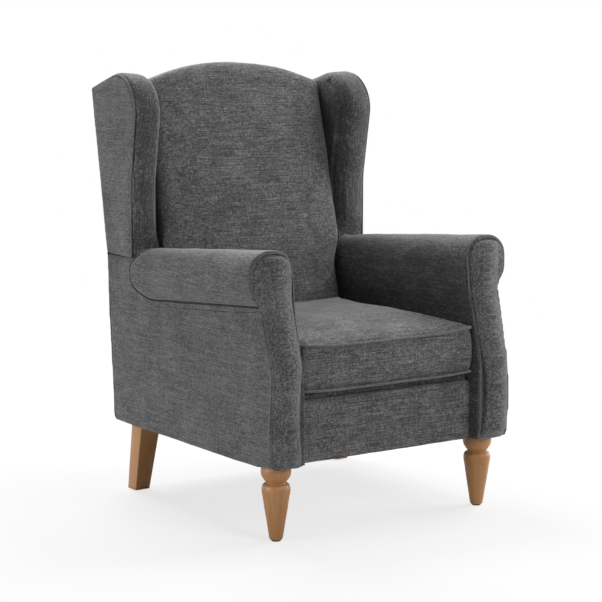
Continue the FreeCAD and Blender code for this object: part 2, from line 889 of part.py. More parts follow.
def rear_bolt():
    return rear_leg_outer / 2 - rear_top_width / 2, rear_leg_y + rear_top_depth / 2


def bolt_hole(place, low, length):
    return Part.makeCylinder(bolt_diameter / 2 + bolt_clearance, length, vec(*place, low))


def leg_blocks():
    """Glued blocks that carry the rails and take the leg bolts."""
    x1 = panel_inner_x - soft_gap
    x0 = x1 - leg_block_size
    blocks = []
    for place, y0 in ((front_bolt(), facing_y + soft_gap), (rear_bolt(), rear_leg_y)):
        solid = block(x0, x1, y0, y0 + leg_block_size, plate_top, rail_base)
        blocks += pair(solid.cut(bolt_hole(place, plate_top, bolt_in_block))).values()
    return together(blocks)


def leg_plates():
    plates = []
    half = leg_plate_size / 2
    for place in (front_bolt(), rear_bolt()):
        x, y = place
        x1 = min(x + half, panel_inner_x - soft_gap)
        solid = block(x - half, x1, y - half, y + half, hem_height, plate_top)
        plates += pair(solid.cut(bolt_hole(place, hem_height, 2 * leg_plate_thickness))).values()
    return together(plates)


def leg_bolts():
    bolts = []
    length = bolt_in_leg + leg_plate_thickness + bolt_in_block
    for place in (front_bolt(), rear_bolt()):
        bolt = Part.makeCylinder(bolt_diameter / 2, length, vec(*place, hem_height - bolt_in_leg))
        bolts += pair(bolt).values()
    return together(bolts)


def apron():
    """Padded front border below the cushion."""
    corners = [(apron_y, hem_height, least_radius), (front_rail_y, hem_height, least_radius),
               (front_rail_y, apron_height, least_radius), (apron_y, apron_height, apron_radius)]
    x = arm_inner_x - soft_gap
    return prism(corners, lambda u, v: vec(-x, u, v), vec(2 * x, 0, 0))


def deck_layer(y0, z0, z1):
    x = arm_inner_x - soft_gap
    return block(-x, x, y0, cushion_rear_y - soft_gap, z0, z1)


def deck_felt():
    return deck_layer(front_rail_y + soft_gap, felt_base, deck_base)


def deck_foam():
    high = deck_top - deck_cloth_thickness - soft_gap
    return deck_layer(front_rail_y + soft_gap, deck_base + soft_gap, high)


def deck_cloth():
    """Lining over the deck foam, turned down in front of it on to the apron."""
    front = front_rail_y - deck_cloth_thickness
    x = arm_inner_x - soft_gap
    top = deck_layer(front, deck_top - deck_cloth_thickness, deck_top)
    turned = block(-x, x, front, front_rail_y, apron_height, deck_top)
    return top.fuse(turned).removeSplitter()


def spring_rows():
    gap = 2 * (post_inner_x - spring_sweep) / spring_count
    return [(i - (spring_count - 1) / 2) * gap for i in range(spring_count)]


def spring_ends():
    return front_rail_y + rail_thickness / 2, post_front_at(rail_top) + rail_thickness / 2


def seat_springs():
    """Zig-zag wires from the front rail to the rear rail."""
    y0, y1 = spring_ends()
    reach = (y1 - y0) / spring_bends
    half = spring_sweep / 2
    springs = []
    for x in spring_rows():
        edges = []
        side = 1
        for i in range(spring_bends + 1):
            y = y0 + i * reach
            start, end = vec(x - side * half, y, spring_z), vec(x + side * half, y, spring_z)
            edges.append(Part.LineSegment(start, end).toShape())
            if i < spring_bends:
                far = vec(x + side * (half + reach / 2), y + reach / 2, spring_z)
                edges.append(Part.Arc(end, far, vec(x + side * half, y + reach, spring_z)).toShape())
            side = -side
        springs.append(tube(edges, spring_wire / 2))
    return together(springs)


def spring_clips():
    """Bent plates that hold the wire ends down on the rails."""
    inner = spring_wire / 2 + soft_gap
    outer = inner + clip_thickness
    half = clip_width / 2
    clips = []
    for y in spring_ends():
        for x in spring_rows():
            arch = Part.makeCylinder(outer, clip_width, vec(x - half, y, spring_z), vec(1, 0, 0))
            arch = arch.fuse(block(x - half, x + half, y - outer, y + outer, rail_top, spring_z))
            foot = block(x - half, x + half, y - outer - clip_flange, y + outer + clip_flange,
                         rail_top, rail_top + clip_thickness)
            inside = Part.makeCylinder(inner, 2 * clip_width, vec(x - clip_width, y, spring_z),
                                       vec(1, 0, 0))
            inside = inside.fuse(block(x - clip_width, x + clip_width, y - inner, y + inner,
                                       rail_top - overrun, spring_z))
            below = block(x - clip_width, x + clip_width, y - overrun, y + overrun,
                          rail_top - overrun, rail_top)
            clips.append(arch.fuse(foot).cut(inside).cut(below).removeSplitter())
    return together(clips)


def dust_cover():
    """Thin cloth under the seat frame, cut out round the leg plates."""
    x = panel_inner_x - soft_gap
    y0, y1 = front_rail_y + soft_gap, rear_at(hem_height) - outside_back_thickness - soft_gap
    sheet = block(-x, x, y0, y1, hem_height, hem_height + dust_cover_thickness)
    half = leg_plate_size / 2 + soft_gap
    for x, y in (front_bolt(), rear_bolt()):
        notch = block(x - half, x + half, y - half, y + half,
                      hem_height - overrun, hem_height + overrun)
        sheet = less(sheet, *pair(notch).values())
    return sheet


# Legs


def front_leg():
    """Turned leg: cup, neck, shouldered taper and toe."""
    top, collar_z = hem_height, hem_height - collar_height
    cup_z, neck_z, shoulder_z = top - cup_height, top - neck_height, top - shoulder_height

    def arc(*rings):
        return Part.Arc(*[vec(radius, 0, z) for radius, z in rings]).toShape()

    def lines(*rings):
        return Part.makePolygon([vec(radius, 0, z) for radius, z in rings]).Edges

    edges = [
        arc((cup_top_radius, top), (cup_lip_radius, (top + cup_z) / 2), (cup_radius, cup_z)),
        arc((cup_radius, cup_z), (cup_waist_radius, (cup_z + neck_z) / 2), (neck_radius, neck_z)),
        arc((collar_edge_radius, collar_z), (collar_radius, (collar_z + shoulder_z) / 2),
            (shoulder_radius, shoulder_z)),
    ]
    edges += lines((neck_radius, neck_z), (neck_radius, collar_z), (collar_edge_radius, collar_z))
    edges += lines((shoulder_radius, shoulder_z), (ankle_radius, ankle_height),
                   (toe_radius, glide_height), (0, glide_height), (0, top), (cup_top_radius, top))
    face = Part.Face(Part.Wire(Part.__sortEdges__(edges)))
    place = front_bolt()
    leg = face.revolve(vec(0, 0, 0), vec(0, 0, 1), 360).translated(vec(*place, 0))
    return leg.cut(bolt_hole(place, hem_height - bolt_in_leg, bolt_in_leg))


def rear_leg():
    """Square leg that tapers and rakes back."""
    outer = rear_leg_outer / 2
    foot_y = rear_y - rear_foot_setback
    wires = []
    for z, y, width, depth in ((glide_height, foot_y, rear_foot_width, rear_foot_depth),
                               (hem_height, rear_leg_y, rear_top_width, rear_top_depth)):
        corners = [(outer - width, y, rear_leg_edge), (outer, y, rear_leg_edge),
                   (outer, y + depth, rear_leg_edge), (outer - width, y + depth, rear_leg_edge)]
        wires.append(outline_wire(rounded_outline(corners), lambda u, v, z=z: vec(u, v, z)))
    return loft(wires).cut(bolt_hole(rear_bolt(), hem_height - bolt_in_leg, bolt_in_leg))


def glides():
    """Nailed plastic discs under the legs."""
    rear_foot = ((rear_leg_outer - rear_foot_width) / 2,
                 rear_y - rear_foot_setback + rear_foot_depth / 2)
    discs = []
    for place in (front_bolt(), rear_foot):
        discs += pair(Part.makeCylinder(glide_radius, glide_height, vec(*place, 0))).values()
    return together(discs)


def build():
    nodes = {
        "front_seat_rail": front_seat_rail(),
        "rear_seat_rail": rear_seat_rail(),
        "leg_blocks": leg_blocks(),
        "leg_plates": leg_plates(),
        "leg_bolts": leg_bolts(),
        "glides": glides(),
        "top_back_rail": top_back_rail(),
        "lower_back_rail": lower_back_rail(),
        "back_straps": back_straps(),
        "back_foam": back_foam(),
        "back_cover": back_cover(),
        "outside_back": outside_back(),
        "seat_springs": seat_springs(),
        "spring_clips": spring_clips(),
        "deck_felt": deck_felt(),
        "deck_foam": deck_foam(),
        "deck_cloth": deck_cloth(),
        "apron": apron(),
        "dust_cover": dust_cover(),
        "cushion_foam": cushion_form(cloth_thickness + soft_gap),
        "cushion_cover": cushion_form().cut(cushion_form(cloth_thickness)),
        "cushion_top_welt": cushion_welt(cushion_base + cushion_thickness - welt_diameter / 2),
        "cushion_bottom_welt": cushion_welt(cushion_base + welt_diameter / 2),
        "zip_tape": zip_tape(),
        "zip_slider": zip_slider(),
    }
    handed = {
        "seat_rail": seat_side_rail(),
        "back_post": back_post(),
        "arm_post": arm_post(),
        "arm_foot": arm_foot(),
        "arm_rail": arm_rail(),
        "arm_foam": arm_foam(),
        "arm_cover": arm_cover(),
        "arm_facing": arm_facing(),
        "facing_welt": facing_welt(),
        "side_panel": side_panel(),
        "wing_board": wing_board(),
        "wing_foam": wing_foam(),
        "wing_cover": wing_cover(),
        "wing_welt": wing_welt(),
        "front_leg": front_leg(),
        "rear_leg": rear_leg(),
    }
    for name, shape in handed.items():
        for side, solid in pair(shape).items():
            nodes[side + "_" + name] = solid
    return nodes


os.makedirs("parts", exist_ok=True)
for name, shape in build().items():
    shape.exportStep("parts/" + name + ".step")
    print(name, len(shape.Solids), round(shape.Volume / 1000), "cm3", shape.isValid())
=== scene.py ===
import json
import math
import random
import bpy
import bmesh
import numpy
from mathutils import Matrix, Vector, noise
from mathutils.kdtree import KDTree
from mathutils.bvhtree import BVHTree


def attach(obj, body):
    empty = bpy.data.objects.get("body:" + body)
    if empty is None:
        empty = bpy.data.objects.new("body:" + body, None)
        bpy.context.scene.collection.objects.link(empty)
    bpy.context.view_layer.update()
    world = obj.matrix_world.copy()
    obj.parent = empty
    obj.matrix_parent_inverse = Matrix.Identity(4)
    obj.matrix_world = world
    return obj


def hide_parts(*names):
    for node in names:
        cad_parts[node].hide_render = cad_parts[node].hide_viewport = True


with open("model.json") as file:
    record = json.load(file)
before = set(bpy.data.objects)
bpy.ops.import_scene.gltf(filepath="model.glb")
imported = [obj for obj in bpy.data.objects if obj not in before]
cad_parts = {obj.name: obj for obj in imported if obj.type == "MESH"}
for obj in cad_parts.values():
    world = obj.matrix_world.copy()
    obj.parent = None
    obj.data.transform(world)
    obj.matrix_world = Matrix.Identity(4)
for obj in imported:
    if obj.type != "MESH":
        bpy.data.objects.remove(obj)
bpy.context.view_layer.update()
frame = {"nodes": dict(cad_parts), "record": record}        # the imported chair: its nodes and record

random.seed(11)
scene = bpy.context.scene
scene.view_settings.view_transform = "Standard"

# sizes that several pieces share, in metres
chair = {
    "rearY": 0.401,
    "facingY": -0.389,
    "hem": 0.167,
    "waist": 0.571,
    "rearTop": 1.008,
    "upperLean": 0.1705,
    "lowerLean": 0.0619,
    "waistIn": 0.0745,       # the outside back stands this much further in at the waist than at its top
    "sweep": 0.045,          # how far the arm fronts sweep back, and between which heights
    "sweepLow": 0.335,
    "sweepHigh": 0.560,
    "panelX": 0.329,
    "footX": 0.3295,         # outer edge of arm fronts and outside arms at the hem
    "armHeight": 0.636,
    "armFall": 0.0808,
    "neckHeight": 0.514,
    "neckFall": 0.0769,
    "armTopY": -0.344,
}
waistStops = (0.2, 0.23, 0.26, 0.29, 0.32, 0.335)   # y of points along the seam at the waist
waistPress = (0.0030, 0.005)                        # depth and reach of that seam


def ramp(value, low, high):
    # 0 at low, 1 at high and level beyond them; low may be the larger one
    return min(max((value - low) / (high - low), 0), 1)


def eased(share):
    return share * share * (3 - 2 * share)


def rearAt(z):
    # y of the outside back at a height
    if z >= chair["waist"]:
        return chair["rearY"] - chair["upperLean"] * (chair["rearTop"] - z)
    return chair["rearY"] - chair["waistIn"] - chair["lowerLean"] * (chair["waist"] - z)


def frontLine(z):
    # y of the arm fronts: upright, then swept back to the scroll
    return chair["facingY"] + chair["sweep"] * eased(ramp(z, chair["sweepLow"], chair["sweepHigh"]))


def armTop(y):
    return chair["armHeight"] - chair["armFall"] * (y - chair["armTopY"])


def neckAt(y):
    return chair["neckHeight"] - chair["neckFall"] * (y - chair["armTopY"])


# mesh helpers

def newPiece(name, bm, material, smooth=True):
    mesh = bpy.data.meshes.new(name)
    bm.normal_update()
    bm.to_mesh(mesh)
    bm.free()
    for face in mesh.polygons:
        face.use_smooth = smooth
    piece = bpy.data.objects.new(name, mesh)
    scene.collection.objects.link(piece)
    mesh.materials.append(material)
    return piece


def loftPiece(name, lofts, material, closed=False, smooth=True):
    # each loft is a row of rings of places; its ends are capped unless the row forms a loop
    bm = bmesh.new()
    for loft in lofts:
        rings = [[bm.verts.new(place) for place in ring] for ring in loft]
        sides = len(rings[0])
        for near, far in zip(rings, rings[1:] + rings[:1] if closed else rings[1:]):
            for k in range(sides):
                bm.faces.new((near[k], near[(k + 1) % sides], far[(k + 1) % sides], far[k]))
        if not closed:
            bm.faces.new(rings[0])
            bm.faces.new(rings[-1])
    bmesh.ops.recalc_face_normals(bm, faces=bm.faces)
    return newPiece(name, bm, material, smooth)


def bakeModifiers(piece):
    view = bpy.context.evaluated_depsgraph_get()
    shaped = bpy.data.meshes.new_from_object(piece.evaluated_get(view))
    old = piece.data
    piece.modifiers.clear()
    piece.data = shaped
    bpy.data.meshes.remove(old)
    for face in piece.data.polygons:
        face.use_smooth = True


def pointsOf(mesh):
    found = numpy.empty(len(mesh.vertices) * 3)
    mesh.vertices.foreach_get("co", found)
    return found.reshape(-1, 3)


def normalsOf(mesh):
    found = numpy.empty(len(mesh.vertices) * 3)
    mesh.vertex_normals.foreach_get("vector", found)
    return found.reshape(-1, 3)


def movePoints(mesh, points):
    mesh.vertices.foreach_set("co", points.ravel())
    mesh.update()


def addHex(bm, corners):
    # a filler block from four lower and four upper corners
    v = [bm.verts.new(c) for c in corners]
    for ring in ((3, 2, 1, 0), (4, 5, 6, 7), (0, 1, 5, 4), (1, 2, 6, 5), (2, 3, 7, 6), (3, 0, 4, 7)):
        bm.faces.new([v[i] for i in ring])


def softPiece(name, nodes, material, form, fillers=()):
    # a soft piece in the room of its CAD solids: joined, remeshed and smoothed
    bm = bmesh.new()
    for node in nodes:
        bm.from_mesh(frame["nodes"][node].data)
    for corners in fillers:
        addHex(bm, corners)
    piece = newPiece(name, bm, material)
    remesh = piece.modifiers.new("remesh", "REMESH")
    remesh.mode = "VOXEL"
    remesh.voxel_size = form["voxel"]
    relax = piece.modifiers.new("relax", "SMOOTH")
    relax.factor = 0.5
    relax.iterations = form["rounds"]
    bakeModifiers(piece)
    piece.data.materials.clear()
    piece.data.materials.append(material)
    if "full" in form:   # smoothing draws a form in a little, and this fills it out again
        movePoints(piece.data, pointsOf(piece.data) + normalsOf(piece.data) * form["full"])
    return piece


def refine(piece):
    finer = piece.modifiers.new("finer", "SUBSURF")
    finer.levels = 1
    finer.render_levels = 1


def outlineArcs(corners, inset=0.0):
    # arcs of a closed outline of (u, v, radius) corners, anticlockwise, moved in by inset
    count = len(corners)
    sides = []
    for i in range(count):
        u0, v0, _ = corners[i]
        u1, v1, _ = corners[(i + 1) % count]
        length = math.hypot(u1 - u0, v1 - v0)
        du, dv = (u1 - u0) / length, (v1 - v0) / length
        sides.append((u0 - dv * inset, v0 + du * inset, du, dv))
    points, turns, reaches = [], [], []
    for i in range(count):
        u0, v0, du0, dv0 = sides[i - 1]
        u1, v1, du1, dv1 = sides[i]
        cross = du0 * dv1 - dv0 * du1
        run = ((u1 - u0) * dv1 - (v1 - v0) * du1) / cross
        points.append((u0 + du0 * run, v0 + dv0 * run))
        turns.append(math.atan2(cross, du0 * du1 + dv0 * dv1))
        radius = max(corners[i][2] - math.copysign(inset, turns[i]), 0.0008)
        reaches.append(radius * math.tan(abs(turns[i]) / 2))
    lengths = [math.dist(points[i], points[(i + 1) % count]) for i in range(count)]
    arcs = []
    for i in range(count):
        _, _, du0, dv0 = sides[i - 1]
        (u, v), turn = points[i], turns[i]
        before = lengths[i - 1] / (reaches[i - 1] + reaches[i])
        after = lengths[i] / (reaches[i] + reaches[(i + 1) % count])
        reach = reaches[i] * min(1, before * 0.98, after * 0.98)
        radius = reach / math.tan(abs(turn) / 2)
        side = math.copysign(1, turn)
        centre = (u - du0 * reach - dv0 * radius * side, v - dv0 * reach + du0 * radius * side)
        start = math.atan2(v - dv0 * reach - centre[1], u - du0 * reach - centre[0])
        arcs.append((centre, radius, start, turn))
    return arcs


def arcPoints(arc, parts):
    centre, radius, start, turn = arc
    angles = [start + turn * k / parts for k in range(parts + 1)]
    return [(centre[0] + radius * math.cos(a), centre[1] + radius * math.sin(a)) for a in angles]


def outlinePoints(corners, inset=0.0, step=0.004, closed=True):
    points = []
    arcs = outlineArcs(corners, inset)
    for i, arc in enumerate(arcs):
        points += arcPoints(arc, max(2, math.ceil(abs(arc[3]) * arc[1] / step)))
        if i + 1 == len(arcs) and not closed:
            break
        near, far = points[-1], arcPoints(arcs[(i + 1) % len(arcs)], 1)[0]
        parts = max(1, math.ceil(math.dist(near, far) / step))
        points += [(near[0] + (far[0] - near[0]) * k / parts, near[1] + (far[1] - near[1]) * k / parts)
                   for k in range(1, parts)]
    return points


def outlineFrom(corners, inset, number):
    # the points of an outline from the start of one of its arcs to its end
    points = outlinePoints(corners, inset, closed=False)
    first = arcPoints(outlineArcs(corners, inset)[number], 1)[0]
    return points[min(range(len(points)), key=lambda i: math.dist(points[i], first)):]


def evenPoints(points, step, closed=False):
    # the same line with points at an even step
    line = [Vector(p) for p in points]
    if closed:
        line.append(line[0].copy())
    lengths = [0.0]
    for a, b in zip(line, line[1:]):
        lengths.append(lengths[-1] + (b - a).length)
    count = max(3, round(lengths[-1] / step))
    made, i = [], 0
    for k in range(count if closed else count + 1):
        at = lengths[-1] * k / count
        while i < len(lengths) - 2 and lengths[i + 1] < at:
            i += 1
        part = (at - lengths[i]) / max(lengths[i + 1] - lengths[i], 1e-9)
        made.append(line[i].lerp(line[i + 1], min(part, 1)))
    return made


def pipe(name, points, radius, material, closed=False, sides=12):
    # piping: a round tube along a line, a little uneven, as a cord under cloth is
    line = evenPoints(points, 0.004, closed)
    count = len(line)
    tangents = []
    for i in range(count):
        before = line[i - 1] if closed or i else line[0]
        after = line[(i + 1) % count] if closed or i + 1 < count else line[-1]
        tangents.append((after - before).normalized())
    across = tangents[0].orthogonal().normalized()
    frames = []
    for tangent in tangents:
        across = (across - tangent * across.dot(tangent)).normalized()
        frames.append((across.copy(), tangent.cross(across)))
    twist = 0.0
    if closed:   # spread the turn that is left over, so that the ends meet
        last, first = frames[-1][0], frames[0][0]
        last = (last - tangents[0] * last.dot(tangents[0])).normalized()
        twist = math.atan2(last.cross(first).dot(tangents[0]), last.dot(first))
    rings = []
    for i, (point, (a, b)) in enumerate(zip(line, frames)):
        size = radius * (1 + 0.04 * noise.noise(point * 90))
        angles = [2 * math.pi * k / sides + twist * i / count for k in range(sides)]
        rings.append([point + (a * math.cos(t) + b * math.sin(t)) * size for t in angles])
    return loftPiece(name, [rings], material, closed)


searchStep = 0.0015


def alongLine(points, closed=False):
    # a search tree of a line's points at an even step
    line = evenPoints(points, searchStep, closed)
    tree = KDTree(len(line))
    for i, point in enumerate(line):
        tree.insert(point, i)
    tree.balance()
    return tree


def pressSeam(piece, line, depth, reach, closed=False, gather=0.0, pitch=0.017):
    # cloth drawn in along a seam, with the small gathers that leave it
    tree = alongLine(line, closed)
    mesh = piece.data
    points, normals = pointsOf(mesh), normalsOf(mesh)
    low = numpy.min([tuple(p) for p in line], axis=0) - reach * 3
    high = numpy.max([tuple(p) for p in line], axis=0) + reach * 3
    for number in numpy.nonzero(((points > low) & (points < high)).all(axis=1))[0]:
        _, index, far = tree.find(points[number])
        if far > reach * 3:
            continue
        move = -depth * math.exp(-(far / reach) ** 2)
        if gather:
            along = index * searchStep
            shift = 5 * noise.noise(Vector((along * 14, depth * 1000, 0)))
            wave = math.sin(2 * math.pi * along / pitch + shift)
            move += gather * wave * math.exp(-(far / (reach * 1.3))) * min(far / 0.004, 1)
        points[number] += normals[number] * move
    movePoints(mesh, points)


def onSide(piece, line, sign, sink=0.0):
    # a line of (y, z) points laid on the outer side of a piece
    mesh = piece.data
    faces = [tuple(f.vertices) for f in mesh.polygons]
    tree = BVHTree.FromPolygons([tuple(p) for p in pointsOf(mesh)], faces)
    laid = []
    for y, z in line:
        place, _, _, _ = tree.ray_cast(Vector((sign * 0.6, y, z)), Vector((-sign, 0, 0)))
        if place:
            laid.append(place - Vector((sign * sink, 0, 0)))
    return laid


def unevenCloth(piece, form, seed):
    # slow swells of the padding under the cloth
    points = pointsOf(piece.data)
    places = points / form["swellSize"] + numpy.array((seed * 7.3, seed * 3.1, seed * 5.7))
    swell = numpy.array([noise.fractal(Vector(p), 0.6, 2.0, 3) for p in places])
    movePoints(piece.data, points + normalsOf(piece.data) * (swell * form["swell"])[:, None])


def roundPull(edge, deep, radius):
    # the share that a point near a corner goes towards the centre of the corner's new arc
    if edge >= radius or deep >= radius:
        return 0.0
    far = math.hypot(radius - edge, radius - deep)
    return 1 - radius / far if far > radius else 0.0


def softSimulate(piece, pinned, form):
    # air pressure inside the cloth, with the points near its seams held and a limit on every move
    mesh = piece.data
    start = pointsOf(mesh)
    held = numpy.array([pinned(Vector(p)) for p in start])
    movePoints(mesh, start - normalsOf(mesh) * (form["shrink"] * ~held)[:, None])
    group = piece.vertex_groups.new(name="held")
    group.add([int(i) for i in numpy.nonzero(held)[0]], 1.0, "REPLACE")
    cloth = piece.modifiers.new("cloth", "CLOTH")
    settings = cloth.settings
    settings.quality = 5
    settings.mass = 0.25
    settings.tension_stiffness = form["stiffness"]
    settings.compression_stiffness = form["stiffness"]
    settings.shear_stiffness = 5
    settings.bending_stiffness = 0.5
    settings.use_pressure = True
    settings.uniform_pressure_force = form["pressure"]
    settings.vertex_group_mass = "held"
    settings.effector_weights.gravity = 0
    cloth.collision_settings.use_collision = False
    cloth.collision_settings.use_self_collision = False
    cloth.point_cache.frame_start = 1
    cloth.point_cache.frame_end = form["frames"]
    for number in range(1, form["frames"] + 1):
        scene.frame_set(number)
    bakeModifiers(piece)
    scene.frame_set(1)
    piece.vertex_groups.clear()
    move = pointsOf(piece.data) - start
    far = numpy.linalg.norm(move, axis=1)
    share = numpy.minimum(1, form["moveCap"] / numpy.maximum(far, 1e-9))
    movePoints(piece.data, start + move * share[:, None])


# material helpers

def addNode(tree, kind, inputs=None, **settings):
    made = tree.nodes.new(kind)
    for key, value in settings.items():
        setattr(made, key, value)
    for key, value in (inputs or {}).items():
        if isinstance(value, bpy.types.NodeSocket):
            tree.links.new(value, made.inputs[key])
        else:
            made.inputs[key].default_value = value
    return made


def startMaterial(name):
    material = bpy.data.materials.new(name)
    material.use_nodes = True
    tree = material.node_tree
    shader = tree.nodes["Principled BSDF"]
    place = addNode(tree, "ShaderNodeTexCoord").outputs["Object"]
    return material, tree, shader, place


def setSurface(tree, shader, colour, rough, height, strength, distance):
    tree.links.new(colour, shader.inputs["Base Color"])
    tree.links.new(rough, shader.inputs["Roughness"])
    bump = addNode(tree, "ShaderNodeBump", {"Height": height, "Strength": strength, "Distance": distance})
    tree.links.new(bump.outputs[0], shader.inputs["Normal"])


def scaled(tree, place, scale):
    return addNode(tree, "ShaderNodeVectorMath", {0: place, 1: scale}, operation="MULTIPLY").outputs[0]


def grainScale(along, length, width):
    # texture scale of marks that run along one axis
    scale = [1 / width] * 3
    scale[along] = 1 / length
    return scale


def calc(tree, operation, a, b):
    return addNode(tree, "ShaderNodeMath", {0: a, 1: b}, operation=operation).outputs[0]


def summed(tree, parts, total=0.0):
    # each value times its amount, added up
    for value, amount in parts:
        total = calc(tree, "ADD", total, calc(tree, "MULTIPLY", value, amount))
    return total


def ranged(tree, value, low, high, toLow=0.0, toHigh=1.0):
    inputs = {"Value": value, "From Min": low, "From Max": high, "To Min": toLow, "To Max": toHigh}
    return addNode(tree, "ShaderNodeMapRange", inputs).outputs[0]


def noiseOf(tree, place, scale, detail=2.0, rough=0.5):
    inputs = {"Vector": scaled(tree, place, scale), "Scale": 1.0, "Detail": detail, "Roughness": rough}
    return addNode(tree, "ShaderNodeTexNoise", inputs).outputs[0]


def blendColours(tree, share, first, second):
    made = addNode(tree, "ShaderNodeMix", data_type="RGBA")
    for socket, value in ((made.inputs[0], share), (made.inputs[6], first), (made.inputs[7], second)):
        if isinstance(value, bpy.types.NodeSocket):
            tree.links.new(value, socket)
        else:
            socket.default_value = value
    return made.outputs[2]


def toned(colour, factor, lift=0.0):
    return tuple(min(c * factor + lift, 1) for c in colour[:3]) + (1,)


# materials

def plainWeave(name, colour, pitch, contrast=0.35, rough=0.9, along=0, sheen=0.1):
    # two plain sets of threads: lining, webbing, felt, tape, seam thread and the face of the foam; the near-black
    # seam thread is also painted shade in seams
    material, tree, shader, place = startMaterial(name)
    warp = noiseOf(tree, place, grainScale(along, pitch / 0.12, pitch), 1)
    weft = noiseOf(tree, place, grainScale((along + 1) % 3, pitch / 0.12, pitch), 1)
    cloud = noiseOf(tree, place, (25, 25, 25), 3, 0.6)
    share = summed(tree, ((warp, 0.4), (weft, 0.4), (cloud, 0.2)))
    dark, light = toned(colour, 1 - contrast), toned(colour, 1 + contrast)
    shade = blendColours(tree, ranged(tree, share, 0.3, 0.7), dark, light)
    setSurface(tree, shader, shade, ranged(tree, warp, 0.3, 0.7, rough, rough - 0.1), share, 0.5, pitch * 0.5)
    shader.inputs["Sheen Weight"].default_value = sheen
    return material


chenille = {
    "darkYarn": (0.050, 0.050, 0.051, 1),
    "lightYarn": (0.330, 0.330, 0.334, 1),
    "lightShare": 0.205,
    "streak": (0.010, 0.0018, 1.0),      # length, height and strength of each kind of slub
    "line": (0.080, 0.0023, 0.75),
    "cross": (0.0013, 0.009, 0.9),
    "mottle": (0.016, 0.007, 0.2),
    "dash": (0.012, 0.0017, 0.42),
    "thread": (0.0028, 0.0008, 0.6),
    "fibre": 1.25,
    "patch": 0.35,
    "sheen": 0.25,
    "bump": 0.4,
}


def clothMaterial(name, along, tone=0.0, contrast=1.0):
    # heathered chenille weave; along is the axis that its slubs run on
    yarn = chenille
    material, tree, shader, place = startMaterial(name)

    def slub(kind, detail, rough=0.5):
        return noiseOf(tree, place, grainScale(along, *yarn[kind][:2]), detail, rough)

    streak, line, cross = slub("streak", 3, 0.62), slub("line", 2), slub("cross", 2)
    fibre = noiseOf(tree, place, (800, 800, 800), 2, 0.7)
    patch = noiseOf(tree, place, (14, 14, 14), 3, 0.55)
    cells = addNode(tree, "ShaderNodeTexVoronoi", {
        "Vector": scaled(tree, place, grainScale(along, *yarn["dash"][:2])), "Scale": 1.0, "Randomness": 1.0})
    pick = addNode(tree, "ShaderNodeSeparateColor", {0: cells.outputs["Color"]}).outputs[0]
    spot = ranged(tree, cells.outputs["Distance"], 0.5, 0.15)
    dash = calc(tree, "MULTIPLY", ranged(tree, pick, 0.72, 0.95), spot)
    mix = [(streak, yarn["streak"][2]), (line, yarn["line"][2]), (cross, yarn["cross"][2]),
           (slub("mottle", 2), yarn["mottle"][2]), (fibre, yarn["fibre"]), (patch, yarn["patch"])]
    # noise lies round 0.5, so half of its amount comes off the level
    level = yarn["lightShare"] + tone - 0.5 * contrast * sum(amount for _, amount in mix)
    mix.append((dash, yarn["dash"][2]))
    share = summed(tree, [(part, amount * contrast) for part, amount in mix], level)
    thread = slub("thread", 1)
    height = summed(tree, ((streak, 0.6), (thread, yarn["thread"][2]), (cross, 0.4), (dash, 0.5)))
    setSurface(tree, shader, blendColours(tree, share, yarn["darkYarn"], yarn["lightYarn"]),
               ranged(tree, streak, 0.3, 0.7, 0.95, 0.78), height, yarn["bump"], 0.0009)
    shader.inputs["Specular IOR Level"].default_value = 0.25
    shader.inputs["Sheen Weight"].default_value = yarn["sheen"]
    shader.inputs["Sheen Roughness"].default_value = 0.4
    return material


# copies below with a negative tone are darker stand-ins for shade on the wings and inner arms: painted shade
clothX = clothMaterial("chenilleAcross", 0, 0.0, 1.4)
clothY = clothMaterial("chenilleAlong", 1, 0.0, 0.95)
clothUprightShade = clothMaterial("chenilleUprightPaintedShade", 2, -0.19, 1.4)   # darker copy of the chenille for the wings: painted shade
# darker copy for the inner faces of the arms: painted shade
clothInnerShade = clothMaterial("chenilleInnerPaintedShade", 1, -0.10, 1.2)
# darkest copy, for the faces of the wings turned to the middle: painted shade
clothWingInnerShade = clothMaterial("chenilleWingInnerPaintedShade", 2, -0.22, 1.2)
# near-black thread laid in seams and grooves: seam thread and painted shade
seamThreadShade = plainWeave("seamThreadShade", (0.006, 0.006, 0.006, 1), 0.0006, sheen=0.0)
# lighter copies of the chenille for the piping: painted highlight on the round cords
pipingHighlightX = clothMaterial("chenillePiping", 0, 0.12, 0.8)
pipingHighlightZ = clothMaterial("chenillePipingUpright", 2, 0.10, 0.8)

oak = {
    "pale": (0.530, 0.265, 0.100, 1), "deep": (0.370, 0.165, 0.054, 1), "pores": (0.15, 0.062, 0.020, 1),
    "rough": 0.40, "coat": 0.15,
}
pine = {
    "pale": (0.68, 0.50, 0.30, 1), "deep": (0.52, 0.35, 0.18, 1), "pores": (0.30, 0.18, 0.09, 1),
    "rough": 0.68, "coat": 0.0,
}


